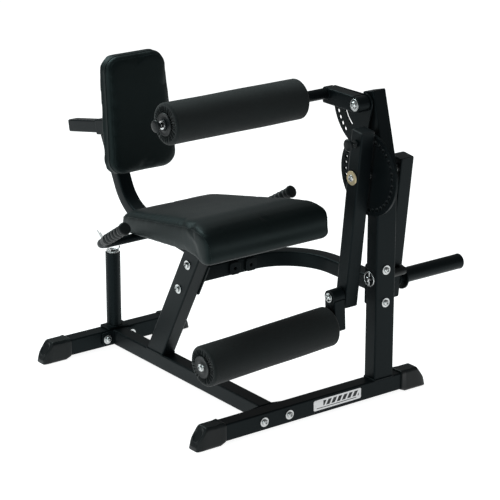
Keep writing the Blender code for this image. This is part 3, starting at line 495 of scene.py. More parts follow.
class LegMachineColours(bpy.types.PropertyGroup):
    powder: colour_setting("Powder coat", "Colour of tubes and plates", (0.003, 0.0045, 0.0052))
    vinyl: colour_setting("Vinyl", "Colour of the two cushions", (0.003, 0.0052, 0.0055))
    cloth: colour_setting("Roller cloth", "Colour of roller covers", (0.0045, 0.0075, 0.0078))
    rubber: colour_setting("Rubber", "Colour of the shoes and grips", (0.006, 0.0085, 0.009))
    plastic: colour_setting("Plastic", "Colour of the knobs and plugs", (0.006, 0.0085, 0.0095))
    zinc: colour_setting("Zinc", "Colour of bolts and pins", (0.64, 0.66, 0.66))
    brass: colour_setting("Brass", "Colour of the main pivot's washer", (0.86, 0.73, 0.47))
    plate: colour_setting("Label plate", "Colour of the blank label", (0.78, 0.79, 0.8))
    floor: colour_setting("Floor", "Colour of the floor", (0.55, 0.55, 0.55))


class LegMachineSizes(bpy.types.PropertyGroup):
    pleats: IntProperty(name="Pleats", description="Gathers round each roller's end",
                        default=30, min=8, max=60)
    pleat_depth: FloatProperty(name="Pleat depth", description="How far a gather folds in",
                               default=0.009, unit="LENGTH")
    roller_radius: FloatProperty(name="Roller radius", description="Outside of the roller cover",
                                 default=0.063, unit="LENGTH")
    voxel: FloatProperty(name="Cushion grid", description="Cell of the simulated cushions",
                         default=0.006, unit="LENGTH")
    swell: FloatProperty(name="Swell", description="Most that a cushion bulges", default=0.006,
                         unit="LENGTH")
    stitch: FloatProperty(name="Stitch pitch", description="Distance between two stitches",
                          default=0.0052, unit="LENGTH")
    rib_pitch: FloatProperty(name="Grip rib pitch", description="Distance between a grip's ribs",
                             default=0.021, unit="LENGTH")
    weld: FloatProperty(name="Weld bead", description="Radius of a weld bead", default=0.0028,
                        unit="LENGTH")


def sizes():
    return bpy.context.scene.leg_machine_sizes


# ------------------------------------------------------------ cushion tools

def inflate(thing, cap, held):
    """Swells a closed shell with cloth under pressure; held marks points that stay put.

    Each point's move is cut to the cap, so the cushion keeps its outline.
    """
    steps = 20
    start = np.empty(len(thing.data.vertices) * 3, np.float32)
    thing.data.vertices.foreach_get("co", start)
    start = start.reshape(-1, 3)
    cloth = thing.modifiers.new("Cloth", "CLOTH")
    cloth.settings.use_pressure = True
    cloth.settings.uniform_pressure_force = 4.0
    cloth.settings.effector_weights.gravity = 0.0
    cloth.point_cache.frame_end = steps
    for step in range(1, steps + 1):
        bpy.context.scene.frame_set(step)
    graph = bpy.context.evaluated_depsgraph_get()
    blown = np.empty_like(start).ravel()
    thing.evaluated_get(graph).data.vertices.foreach_get("co", blown)
    move = blown.reshape(-1, 3) - start
    reach = np.linalg.norm(move, axis=1, keepdims=True)
    move *= np.minimum(1, cap / np.maximum(reach, 1e-9)) * (1 - held(start))[:, None]
    thing.modifiers.remove(cloth)
    bpy.context.scene.frame_set(1)
    thing.data.vertices.foreach_set("co", (start + move).ravel())
    thing.data.update()


def stuffed(name, rings, held, smoothing=10):
    """A cushion: voxel grid, smoothed edges, a pressure simulation and one subdivision."""
    thing = shell(name, rings)
    remesh = thing.modifiers.new("Remesh", "REMESH")
    remesh.mode, remesh.voxel_size = "VOXEL", sizes().voxel
    even = thing.modifiers.new("Smooth", "SMOOTH")
    even.factor, even.iterations = 0.5, smoothing
    graph = bpy.context.evaluated_depsgraph_get()
    mesh = bpy.data.meshes.new_from_object(thing.evaluated_get(graph))
    thing.modifiers.clear()
    old, thing.data = thing.data, mesh
    bpy.data.meshes.remove(old)
    mesh.name = name
    inflate(thing, sizes().swell, held)
    finer = thing.modifiers.new("Subdivision", "SUBSURF")
    finer.levels = finer.render_levels = 1
    thing.data.shade_smooth()
    return thing


def seam(name, cushion, line, radius, closed=True):
    """Sewn welt: a cord half sunk in the cushion along its nearest line."""
    line, normal = closest(cushion, line)
    path = line + normal * radius * 0.15
    return wire(name, path, radius, normal, closed, 10)


def stitches(name, cushion, line, pitch, length=0.0032, radius=0.00045):
    """A row of thread stitches: each is a short capsule of five six-sided rings on the line."""
    rows, sides = 5, 6
    run = np.linalg.norm(np.diff(line, axis=0), axis=1).sum()
    count = max(4, int(run / pitch))
    places = spread(line, count, closed=False)
    places, normal = closest(cushion, places)
    ahead = unit(np.gradient(places, axis=0))
    side = unit(np.cross(normal, ahead))
    ahead = np.cross(side, normal)
    t = np.array((-0.5, -0.38, 0.0, 0.38, 0.5)) * length
    width = np.array((0.35, 1.0, 1.15, 1.0, 0.35)) * radius
    lift = np.array((-0.6, 0.1, 0.5, 0.1, -0.6)) * radius
    round_ = circle(sides)
    core = (places[:, None] + t[None, :, None] * ahead[:, None]
            + (lift[None, :, None] + radius * 0.3) * normal[:, None])
    rings = (core[:, :, None] + width[None, :, None, None]
             * (round_[None, None, :, :1] * side[:, None, None]
                + round_[None, None, :, 1:] * normal[:, None, None]))
    first = np.arange(count)[:, None, None] * rows * sides
    i, j = np.meshgrid(np.arange(rows - 1), np.arange(sides), indexing="ij")
    after = (j + 1) % sides
    quads = np.stack([i * sides + j, i * sides + after, (i + 1) * sides + after,
                      (i + 1) * sides + j], -1).reshape(1, -1, 4) + first
    lid = np.arange(sides)
    lids = np.stack([lid[::-1], lid + (rows - 1) * sides])[None] + first
    mesh = bpy.data.meshes.new(name)
    mesh.from_pydata(rings.reshape(-1, 3).tolist(), [],
                     quads.reshape(-1, 4).tolist() + lids.reshape(-1, sides).tolist())
    return finish_mesh(name, mesh, 60)


# ------------------------------------------------------------------ pieces

class LEGMACHINE_OT_finishes(bpy.types.Operator):
    """Make the finishes and give them to the frame's own nodes"""
    bl_idname = "legmachine.finishes"
    bl_label = "Finishes"

    def execute(self, context):
        colours = context.scene.leg_machine_colours
        pick = {key: tuple(getattr(colours, key)) for key in LegMachineColours.__annotations__}
        PAINT.update({
            "powder_coat": powder_coat(pick["powder"]),
            "vinyl": vinyl(pick["vinyl"]),
            "roller_cover": roller_cloth(pick["cloth"]),
            "rubber": moulded("matt_rubber", pick["rubber"], 0.34, 900),
            "plastic": moulded("moulded_plastic", pick["plastic"], 0.36, 600),
            "zinc": plated("zinc_plate", pick["zinc"], 0.16, 0.22),
            "chrome": plated("chrome_plate", pick["zinc"], 0.05, 0.05),
            "brass_washer": plated("brass_washer", pick["brass"], 0.3, 0.12),
            "thread": moulded("waxed_thread", times(pick["vinyl"], 6), 0.6, 3000),
            "label": label_face(pick["plate"], times(pick["powder"], 1.5)),
            "floor": floor_paint(pick["floor"]),
        })
        slot_of = {row["node"]: row["material_slot"] for row in frame["record"]["subparts"]}
        for name, node in frame["nodes"].items():
            node.data.materials.clear()
            node.data.materials.append(PAINT[slot_of[name]])
        return {"FINISHED"}


class LEGMACHINE_OT_bent_tubes(bpy.types.Operator):
    """Make the curved brace, the back support and the handlebar"""
    bl_idname = "legmachine.bent_tubes"
    bl_label = "Bent tubes"

    def execute(self, context):
        self.brace()
        self.support()
        (tip, bend), (far_tip, far_bend) = handle_end(-1), handle_end(1)
        path = rounded_path([tip + unit(bend - tip) * 0.006, bend, far_bend,
                             far_tip + unit(far_bend - far_tip) * 0.006], 0.045, 18)
        dress(wire("handlebar_tube", path, 0.013, Z, sides=32), "powder_coat", "frame",
              ["handlebar"])
        return {"FINISHED"}

    @staticmethod
    def brace():
        """Square tube round one bend from the seat post to the upright, with its two flanges."""
        start, bend, end = ((30, BRACE_OFF), (BRACE_OFF, BRACE_OFF), (BRACE_OFF, 30))
        path = rounded_path([at(*point, BRACE_HEIGHT) for point in (start, bend, end)], 0.19, 40)
        dress(shell("brace_tube", sweep(rounded(0.05, 0.05, 0.006), path, Z)), "powder_coat",
              "frame", ["curved_brace"])
        lip = rounded(0.075, 0.13, 0.007)
        for name, place, across, up, way in (
                ("brace_flange_seat", at(25.4, BRACE_OFF, BRACE_HEIGHT), POST_BACK, POST_UP, X),
                ("brace_flange_upright", at(BRACE_OFF, 25.4, BRACE_HEIGHT), X, Z, Y)):
            rings = np.array([placed(lip * scale, place + way * step, across, up)
                              for scale, step in ((0.98, 0.0), (1, 0.0008), (1, 0.005),
                                                  (0.98, 0.0058))])
            dress(shell(name, rings), "powder_coat")

    @staticmethod
    def support():
        """Flat tube from the seat post's rear face, bent up to the underside of the sleeve."""
        rise = np.array((0, np.cos(SUPPORT_RISE), np.sin(SUPPORT_RISE)))
        knee = at(0, 750, 498.7)
        path = rounded_path([at(0, 400, 462.5), knee, knee + rise * 0.26], 0.15, 32)
        rings = sweep(rounded(0.05, 0.04, 0.006), path, X)
        rings[-1] = cut(rings[-1], rise, SLEEVE - TUBE_UP * 0.0254, TUBE_UP)
        height = 200
        post = at(0, POST_FOOT - (height - 65) * np.tan(POST_LEAN), height) + POST_BACK * 0.0378
        rings[0] = cut(rings[0], unit(path[1] - path[0]), post, POST_BACK)
        dress(shell("back_support_tube", rings), "powder_coat", "frame", ["back_support"])


def handle_end(side):
    """The handlebar's tip and bend on one side."""
    return at(side * 312, 308, 611), at(side * 298, 487, 505)


class LEGMACHINE_OT_shoes(bpy.types.Operator):
    """Make the four rubber shoes"""
    bl_idname = "legmachine.shoes"
    bl_label = "Shoes"

    def execute(self, context):
        for name, toe in (("foot_front_right", -1), ("foot_front_left", 1),
                          ("foot_rear_right", -1), ("foot_rear_left", 1)):
            dress(self.shoe(name.replace("foot", "shoe"), name, toe), "rubber", "frame", [name])
        return {"FINISHED"}

    @staticmethod
    def shoe(name, node, toe):
        """Cross-sections along X: a rounded rectangle as high as the toe's slope allows.

        The top is level, then falls steeply over a rounded edge to a low lip at the tip.  The
        plan draws in round the nose and towards the top, the heel is bevelled underneath, and
        the slope and the top each have an oval recess.
        """
        low, high = corner(node, 0), corner(node, 1)
        length, width, height = high - low
        inner, across = (high if toe < 0 else low)[0], (low[1] + high[1]) / 2
        s = np.concatenate([np.linspace(0, 0.04, 5), np.linspace(0.05, 0.55, 28),
                            np.linspace(0.56, 0.98, 56), np.linspace(0.983, 1, 8)])
        top = np.interp(s, [0, 0.63, 0.68, 0.91, 0.96, 1],
                        np.array([1, 1, 0.965, 0.5, 0.3, 0.2]) * height)
        top = np.convolve(np.pad(top, 3, "edge"), np.ones(7) / 7, "valid")
        nose = np.clip((s - 0.72) / 0.28, 0, 1)
        draw = 0.011 * (1 - np.sqrt(np.clip(1 - nose ** 2.4, 0, 1)))
        heel = 0.0015 * (1 - np.clip(s / 0.03, 0, 1))
        half = width / 2 - draw - heel
        outline = spread(rounded(2, 2, 0.34, 8), 160)
        u, v = outline[:, 0], outline[:, 1]
        crown = (v[None] + 1) / 2 * 0.0055 * np.clip(s / 0.2, 0, 1)[:, None]
        y = u[None] * (half[:, None] - crown)
        lift = (0.008 * (1 - np.clip(s / 0.18, 0, 1)))[:, None]
        z = lift + (v[None] + 1) / 2 * (top[:, None] - heel[:, None] - lift)
        x = np.broadcast_to(s[:, None] * length, y.shape)
        slope = ((x - 0.81 * length) / (0.12 * length)) ** 2 + (y / (0.27 * width)) ** 2
        panel = ((x - 0.34 * length) / (0.24 * length)) ** 2 + (y / (0.3 * width)) ** 2
        lid = v[None] > 0.98
        z = z - 0.006 * np.clip(1.3 - slope, 0, 0.45) / 0.45 * lid
        z = z - 0.0012 * np.clip(1.2 - panel, 0, 0.2) / 0.2 * lid
        rings = np.stack([inner + toe * x, across + y, low[2] + z], -1)
        return shell(name, rings, "cap", 50)


class LEGMACHINE_OT_bolts(bpy.types.Operator):
    """Make the domed socket bolts"""
    bl_idname = "legmachine.bolts"
    bl_label = "Bolts"

    def execute(self, context):
        for row in ("front", "rear"):
            for side in ("left", "right"):
                self.on_node(f"bolt_{row}_{side}", -Y)
        for side in ("lower", "upper"):
            self.on_node(f"bolt_post_{side}", -X)
            self.on_node(f"bolt_upright_{side}", -Y)
        place = middle("hold_down_bolt")
        place[0] = corner("hold_down_arm", 0)[0]
        dress(bolt("hold_down_cap_bolt", place, -X, 11.5, 19), "zinc", replaced=["hold_down_bolt"])
        link = joint("roller_link_swing") - X * 0.0225
        dress(bolt("link_cap_bolt", link, -X, 11.5, 15), "zinc", "leg_lever", ["link_pin"])
        return {"FINISHED"}

    @staticmethod
    def on_node(node, way):
        place = face(node, int(np.argmax(np.abs(way))), 1)
        dress(bolt(node.replace("bolt", "cap_bolt"), place, way), "zinc", "frame", [node])


def bolt(name, place, way, head=9.5, washer=15.0, height=7.0, sides=60):
    """Washer and domed head turned about way; the socket's rings are hexagons."""
    edge, socket = 3.8, 4.6                    # where the dome starts, and its inner radius
    quarter = np.linspace(0, 1, 9) * np.pi / 2
    rise = edge + (height - 1.2) * np.sin(quarter)
    bulge = socket + (head - socket) * np.cos(quarter)
    round_rows = [(0, washer), (2.0, washer), (2.5, washer - 0.5), (2.5, head), (edge, head)]
    rows = np.array(round_rows + list(zip(rise, bulge))[1:]) / 1000
    hexes = np.array([(height + 3.6, 3.8), (height - 0.5, 3.7), (height - 1.0, 0.4)]) / 1000
    way = unit(way)
    round_, six = spokes(way, sides), hexagon(sides)[:, None]
    rings = [place + row[0] * way + row[1] * round_ for row in rows]
    rings += [place + row[0] * way + row[1] * six * round_ for row in hexes]
    return shell(name, np.array(rings), "cap", 32)


class LEGMACHINE_OT_seat(bpy.types.Operator):
    """Make the seat cushion with its side seams"""
    bl_idname = "legmachine.seat"
    bl_label = "Seat"

    def execute(self, context):
        # Distance from the front beam, underside, top and share of the width, front to rear.
        stations = np.array((
            (8, 574, 600, 0.925), (11, 563, 622, 0.965), (24, 552, 638, 0.985), (48, 550, 647, 1),
            (84, 562.5, 650, 1), (150, 562.5, 645, 1), (330, 539.1, 611, 1), (500, 517.1, 578, 1),
            (536, 513, 569, 0.985), (550, 515, 561, 0.95), (556, 522, 552, 0.9)))
        y = np.concatenate([np.linspace(8, 90, 28), np.linspace(96, 530, 60),
                            np.linspace(534, 556, 9)])
        low, high, scale = (np.interp(y, stations[:, 0], stations[:, k]) for k in (1, 2, 3))
        high = np.convolve(np.pad(high, 2, "edge"), np.ones(5) / 5, "valid")
        half = scale * (230 + (175 - 230) * (y - 8) / 548)
        radius = np.minimum(17, (high - low) / 2 - 1)
        rings = np.array([
            placed(spread(rounded(2 * h + 5, t - b + 2, r), 200) / 1000,
                   at(0, along, (t + b) / 2), X, Z)
            for h, b, t, r, along in zip(half, low, high, radius, y)])
        cushion = stuffed("seat_cushion", rings, self.board)
        dress(cushion, "vinyl", "frame", ["seat_pad"])
        for name, side in (("right", -1), ("left", 1)):
            run = np.linspace(552, 10, 110)
            edge = np.interp(run, y, half) * side
            top = np.interp(run, y, high)
            under = np.interp(run, y, low)
            line = at(0, 0, 0) + np.stack([edge - side * 1, run, top - 5], -1) / 1000
            nose = np.linspace(0, 1, 8)[1:, None]
            tip = line[-1:] + nose * (at(edge[-1] - side * 3, 6, under[-1]) - line[-1:])
            line = np.vstack([line, tip])
            dress(seam(f"seat_seam_{name}", cushion, line, 0.0013, closed=False), "vinyl")
            inner = at(0, 0, 0) + np.stack([edge - side * 13, run, top + 6], -1)[8:-6] / 1000
            dress(stitches(f"seat_stitches_{name}", cushion, inner, sizes().stitch), "thread")
        return {"FINISHED"}

    @staticmethod
    def board(points):
        """Points on the cushion's underside, which lies on its board, stay."""
        y = (points[:, 1] - START[1]) * 1000
        under = np.interp(y, [8, 48, 84, 500, 556], [572, 550, 562, 517, 516])
        return np.clip(1 - (points[:, 2] * 1000 - under - 3) / 14, 0, 1)


class LEGMACHINE_OT_backrest(bpy.types.Operator):
    """Make the back cushion with its welt and stitching"""
    bl_idname = "legmachine.backrest"
    bl_label = "Back cushion"

    def execute(self, context):
        depths = np.concatenate([np.linspace(0, 1, 10) ** 2 * 12, np.linspace(14, 36, 8),
                                 41.7 - 4 * np.linspace(1, 0, 6) ** 2])
        inset = np.where(depths < 12, 9 * (1 - np.sqrt(np.clip(1 - (1 - depths / 12) ** 2, 0, 1))),
                         np.where(depths > 37, 2.5 * ((depths - 37) / 4.7) ** 2, 0))
        rings = np.array([placed(self.outline(pull - 3) / 1000,
                                 BACK_FACE + PAD_BACK * (depth - 1) / 1000, X, PAD_UP)
                          for depth, pull in zip(depths, inset)])
        cushion = stuffed("back_cushion", rings, self.board, 5)
        dress(cushion, "vinyl", "backrest", ["back_pad"])
        line = placed(spread(self.outline(0), 260) / 1000, BACK_FACE + PAD_BACK * 0.012, X,
                      PAD_UP)
        dress(seam("back_welt", cushion, line, 0.0014), "vinyl", "backrest")
        row = placed(spread(self.outline(11), 400) / 1000, BACK_FACE - PAD_BACK * 0.01, X,
                     PAD_UP)
        dress(stitches("back_stitches", cushion, row, sizes().stitch), "thread", "backrest")
        return {"FINISHED"}

    @staticmethod
    def outline(inset):
        """Rounded trapezium, wider below: the half width grows in a line from top to foot."""
        top, foot, height = 111, 128, 374
        shape = spread(rounded(2 * (top - inset), height - 2 * inset, max(46 - inset, 8), 10), 240)
        drop = 0.5 - shape[:, 1] / height
        widen = 1 + (foot / top - 1) * np.clip(drop, 0, 1)
        return np.stack([shape[:, 0] * widen, shape[:, 1]], -1)

    @staticmethod
    def board(points):
        """Points near the cushion's back board stay."""
        depth = (points - BACK_FACE) @ PAD_BACK * 1000
        return np.clip((depth - 26) / 10, 0, 1)


class LEGMACHINE_OT_rollers(bpy.types.Operator):
    """Make the padded rollers, their end discs and shafts"""
    bl_idname = "legmachine.rollers"
    bl_label = "Rollers"

    def execute(self, context):
        for name, body, low, high, core in (("lower", "leg_roller", -0.236, 0.236, 0.0168),
                                            ("upper", "thigh_roller", -0.243, 0.242, 0.0214)):
            centre, way = joint(f"{body}_spin"), unit(joint(f"{body}_spin", "axis"))
            cover = self.cover(f"{name}_roller_cover", centre, way, low, high, core)
            dress(cover, "roller_cover", body, [f"{name}_roller"])
            for end, place, out in (("right", centre + way * low, way),
                                    ("left", centre + way * high, -way)):
                self.disc(name, body, end, place, out)
        centre, way = joint("leg_roller_spin"), unit(joint("leg_roller_spin", "axis"))
        dress(turned("leg_roller_shaft", [(-242.6, 11.5), (-242, 12.2), (286, 12.2), (287, 11)],
                     centre, way), "zinc", "roller_link", ["roller_shaft"])
        dress(bolt("leg_roller_cap_bolt", centre - way * 0.2426, -way, 8, 11.5, 5), "zinc",
              "roller_link")
        return {"FINISHED"}

    @staticmethod
    def cover(name, centre, way, low, high, core):
        """Gathered sleeve: radius and place along a profile, folded by pleats at both ends.

        From the disc to the rim the cloth sinks by a comb of narrow valleys round the angle,
        deepest in the middle of that band.  The barrel keeps slow, shallow unevenness.
        """
        size = sizes()
        radius, bend = size.roller_radius, 0.0085
        under_disc, puff = 0.03, 0.0032
        band = np.linspace(0, 1, 30)
        hem_r = under_disc + (radius - bend - under_disc) * band
        hem_x = 0.0045 - 0.0045 * band ** 0.8
        turn = np.linspace(0, np.pi / 2, 14)[1:]
        edge_r = radius - bend + bend * np.sin(turn)
        edge_x = bend * (1 - np.cos(turn))
        barrel = np.linspace(edge_x[-1] + 0.004, (high - low) / 2, 40)
        r = np.concatenate([[core, core], hem_r, edge_r, np.full(len(barrel), radius)])
        x = np.concatenate([[0.014, 0.006], hem_x, edge_x, barrel])
        fold = np.concatenate([[0, 0], np.clip(np.sin(np.pi * (0.18 + 0.82 * band)), 0, 1) ** 0.6,
                               np.zeros(len(turn) + len(barrel))])
        r, x = np.concatenate([r, r[-2::-1]]), np.concatenate([x, (high - low) - x[-2::-1]])
        inward = np.concatenate([fold, -fold[-2::-1]])[:, None]
        angle = np.arange(COVER_SIDES) / COVER_SIDES * np.pi * 2
        wander = 0.7 * np.sin(3 * angle + 1) + 0.45 * np.sin(7 * angle) + 0.3 * np.sin(13 * angle)
        valley = (1 - np.abs(np.sin(size.pleats / 2 * angle + wander)) ** 0.5)[None]
        uneven = (np.sin(2 * angle[None] + x[:, None] * 17)
                  + np.sin(5 * angle[None] - x[:, None] * 31) * 0.6) * 0.00035 * (inward == 0)
        along = low + x[:, None] + inward * (size.pleat_depth * valley - puff * (1 - valley))
        out = r[:, None] - 0.0012 * np.abs(inward) * valley + uneven - 0.0005
        rings = centre + along[..., None] * way + out[..., None] * spokes(way, COVER_SIDES)
        return shell(name, rings, "loop", 70)

    @staticmethod
    def disc(name, body, end, place, out):
        """End disc: a rounded rim, a shallow dish and a raised hub, turned about the axle."""
        hole = 12.9 if name == "lower" else 17.4
        profile = [(1, hole), (-4.5, hole), (-5.5, hole + 0.6), (-5.5, hole + 3), (-4.4, hole + 5),
                   (-4.2, 26), (-4.8, 30), (-5.4, 32), (-5.2, 33.4), (-3.8, 34.4), (-1.6, 34.4),
                   (-0.8, 33.4), (1, 30)]
        dress(turned(f"{name}_disc_{end}", profile, place, out, 64, "loop"), "plastic", body,
              [f"{name}_hub"] if end == "right" else ())


class LEGMACHINE_OT_grips(bpy.types.Operator):
    """Make the ribbed rubber grips"""
    bl_idname = "legmachine.grips"
    bl_label = "Grips"

    def execute(self, context):
        for name, side in (("right", -1), ("left", 1)):
            tip, bend = handle_end(side)
            self.grip(f"ribbed_grip_{name}", tip, unit(bend - tip), f"grip_{name}")
        return {"FINISHED"}

    @staticmethod
    def grip(name, tip, way, node):
        """Radius along the grip: a domed end, a rounded guard, then half-round ribs."""
        pitch, first, count = sizes().rib_pitch * 1000, 13, 6
        s = np.arange(first, first + count * pitch, 0.7)
        ribs = 14 + 3.4 * np.abs(np.sin(np.pi * (s - first) / pitch)) ** 0.8
        dome = np.linspace(0, np.pi / 2, 8)
        head = np.stack([2.6 * (1 - np.cos(dome)) + 0.2, 0.5 + 17.5 * np.sin(dome)], -1)
        guard = [(3.6, 19.2), (5, 20), (8, 20), (9.4, 19.2), (10.2, 16.6), (12.4, 14.8)]
        tail = [(142, 14.6), (153, 14.4), (153.8, 14), (153.8, 13.1)]
        profile = np.vstack([head, guard, np.stack([s, ribs], -1), tail])
        dress(turned(name, profile, tip, way, 40), "rubber", "frame", [node])


class LEGMACHINE_OT_knobs(bpy.types.Operator):
    """Make the three pull-pin knobs with their collars and pins"""
    bl_idname = "legmachine.knobs"
    bl_label = "Knobs"

    def execute(self, context):
        self.knob("lever", X, "lever_lock", "lever_pin")
        self.knob("hold_down", X, "hold_down_lock", "hold_down_pin")
        self.knob("back", -X, "back_lock", "back_pin")
        dress(hex_nut("lever_pin_nut", face("lever_pin_housing", 0, 1), -X, 12, 6), "plastic",
              "leg_lever", ["lever_pin_housing"])
        collar = middle("hold_down_pin")
        collar[0] = corner("hold_down_shaft", 0)[0]
        profile = [(2, 8.5), (-5, 8.5), (-5.6, 9.2), (-5.6, 12), (-4.6, 13.4), (-1, 14), (2, 14)]
        dress(turned("hold_down_collar", profile, collar, X, 48, "loop"), "chrome", "hold_down")
        return {"FINISHED"}

    @staticmethod
    def knob(name, way, body, node):
        """Mushroom head: a crowned face, a full rim and a waist, on a plated pin."""
        end = face(node, 0, 0 if way[0] > 0 else 1)
        long = (corner(node, 1)[0] - corner(node, 0)[0]) * 1000
        s = np.linspace(0, 1, 10)
        crown = np.stack([2.2 * (1 - np.sqrt(1 - 0.96 * s ** 2)), 0.3 + 14.4 * s], -1)
        rim = np.linspace(-np.pi / 2, np.pi / 2, 12)
        rim = np.stack([6.6 + 4.8 * np.sin(rim), 13.8 + 5.0 * np.cos(rim)], -1)
        waist = [(12.6, 11.4), (14.6, 10), (17.6, 9.2), (20, 9)]
        head = turned(f"{name}_knob", np.vstack([crown, rim, waist]), end, way, 56)
        dress(head, "plastic", body)
        pin = turned(f"{name}_pull_pin", [(17, 5.6), (long - 2, 5.6), (long - 0.4, 4.2)], end, way,
                     28)
        dress(pin, "chrome", body, [node])


def hex_nut(name, place, way, radius, height):
    """Six-sided nut whose corners are chamfered by a cone."""
    sides, cone = 60, radius * 0.84
    flat = radius * 0.88 * hexagon(sides)
    rows = ((0, cone), (radius * 0.12, radius * 2), (height - 1, radius * 2), (height, cone))
    rings = np.array([place + way * step / 1000
                      + np.minimum(flat, r)[:, None] * spokes(way, sides) / 1000
                      for step, r in rows])
    return shell(name, rings, "cap", 28)


class LEGMACHINE_OT_main_pivot(bpy.types.Operator):
    """Make the main pivot's washer and bolt"""
    bl_idname = "legmachine.main_pivot"
    bl_label = "Main pivot"

    def execute(self, context):
        place = face("pivot_bolt", 0, 1)
        ring = [(0, 11), (0, 21.4), (0.5, 22), (3, 22), (3.6, 21.4), (3.6, 11)]
        dress(turned("pivot_washer", ring, place, -X, 64, "loop"), "brass_washer", "weight_arm",
              ["pivot_bolt"])
        dress(bolt("pivot_cap_bolt", place - X * 0.001, -X, 10.5, 14.5, 5.5), "zinc", "weight_arm")
        return {"FINISHED"}


class LEGMACHINE_OT_stop(bpy.types.Operator):
    """Make the stop rod's ring pin and rubber sleeve"""
    bl_idname = "legmachine.stop"
    bl_label = "Stop"

    def execute(self, context):
        ring, radius = middle("linch_pin"), 0.022
        hoop = wire("hoop", placed(circle(72) * radius, ring, Y, Z), 0.0016, X, closed=True)
        stem = wire("stem", np.linspace(ring - Z * radius, ring + Z * radius, 4), 0.002, X)
        dress(joined("ring_pin", [hoop, stem]), "zinc", "frame", ["linch_pin"])
        profile = [(0, 8.3), (0, 15.5), (1, 16.4), (4, 16.4), (5, 15.4), (6, 13.7), (30, 13.5),
                   (50, 13.5), (53.5, 12.8), (55, 11), (55, 8.3)]
        dress(turned("stop_sleeve", profile, face("stop_rubber", 0, 0), X, 48, "loop"), "rubber",
              "frame", ["stop_rubber"])
        return {"FINISHED"}


class LEGMACHINE_OT_storage(bpy.types.Operator):
    """Make the storage post's rim and the wire clip in its top"""
    bl_idname = "legmachine.storage"
    bl_label = "Storage post"

    def execute(self, context):
        top = face("storage_post", 2, 1)
        profile = [(-2, 21.6), (-0.3, 21.8), (0.2, 22.4), (0.2, 23.7), (-0.6, 24.5), (-4, 24.5)]
        dress(turned("storage_rim", profile, top, Z, 56, "loop"), "powder_coat")
        radius, pitch, turns = 0.019, 0.0052, 2.6
        turn = np.linspace(0, np.pi * 2 * turns, 130)
        coil = top + np.stack([radius * np.cos(turn), radius * np.sin(turn),
                               -0.006 + pitch * turn / np.pi / 2], -1)
        up = coil[-1] + np.linspace(0, 1, 16)[1:, None] * np.array((-0.036, 0.004, 0.07))
        tail = rounded_path([top + (-0.016, -0.006, 0.004), top + (-0.036, -0.009, 0.036),
                             top + (-0.063, -0.008, 0.088)], 0.04, 10)
        catch = rounded_path([top + (0.015, -0.002, 0.004), top + (0.024, 0.0, 0.006),
                              top + (0.029, 0.003, 0.014)], 0.006, 8)
        wires = [wire("coil", np.vstack([coil, up]), 0.0022, Z), wire("tail", tail, 0.0024, Y),
                 wire("catch", catch, 0.0024, Y)]
        dress(joined("wire_clip", wires), "zinc", "frame", ["spring_clip"])
        return {"FINISHED"}


class LEGMACHINE_OT_peg(bpy.types.Operator):
    """Make the weight peg with its collar"""
    bl_idname = "legmachine.peg"
    bl_label = "Weight peg"

    def execute(self, context):
        place = face("weight_peg", 0, 0)
        long = (corner("weight_peg", 1)[0] - place[0]) * 1000
        profile = [(0, 8), (0, 24.5), (15.6, 24.5), (16.2, 39), (17, 39.8), (21.4, 39.8),
                   (22.2, 39), (22.4, 24.5), (24, 24.3), (long - 7, 24.3), (long - 6.6, 24.8),
                   (long - 2.4, 24.8), (long - 0.8, 23.8), (long, 21), (long, 1)]
        dress(turned("peg_tube", profile, place, X, 64), "powder_coat", "weight_arm",
              ["weight_peg"])
        return {"FINISHED"}


class LEGMACHINE_OT_end_plugs(bpy.types.Operator):
    """Make the plastic plugs that close the tubes' ends"""
    bl_idname = "legmachine.end_plugs"
    bl_label = "End plugs"

    def execute(self, context):
        pivot = at(0, 0, 731)
        hold = joint("hold_down_swing")
        tube_end = SLEEVE - TUBE_FORWARD * ((1.076 - 0.872) / np.cos(FALL))
        head = at(430.5, 0.9, 736.3) + HEAD_UP * 0.238
        for name, body, centre, way, width, depth in (
                ("lever_top", "leg_lever", pivot + X * 0.324 + ARM_UP * 0.146, ARM_UP, 50, 50),
                ("lever_foot", "leg_lever", pivot + X * 0.324 - ARM_UP * 0.422, -ARM_UP, 50, 50),
                ("arm_top", "weight_arm", pivot + X * 0.492 + ARM_UP * 0.036, ARM_UP, 50, 50),
                ("arm_foot", "weight_arm", pivot + X * 0.492 - ARM_UP * 0.428, -ARM_UP, 50, 50),
                ("hold_down_rear", "hold_down", hold + Y * 0.151, Y, 40, 50),
                ("upper_post", "frame", head, HEAD_UP, 50, 50),
                ("back_tube", "backrest", tube_end, -TUBE_FORWARD, 40, 40)):
            if name.startswith("hold_down"):
                centre = centre + X * (middle("hold_down_arm")[0] - centre[0])
            self.plug(f"plug_{name}", body, centre, way, width, depth)
        return {"FINISHED"}

    @staticmethod
    def plug(name, body, centre, way, width, depth):
        """A lid with a rounded rim and a faintly crowned top."""
        rows = ((0, 0.2), (0.4, 0.0), (1.6, 0.0), (2.4, 0.6), (2.8, 1.8), (3.0, 6), (3.1, 14))
        up = np.cross(way, X)
        rings = np.array([placed(rounded(width - 2 * pull, depth - 2 * pull, max(6 - pull, 1.5))
                                 / 1000, centre + way * step / 1000, X, up)
                          for step, pull in rows])
        dress(shell(name, rings), "plastic", body)


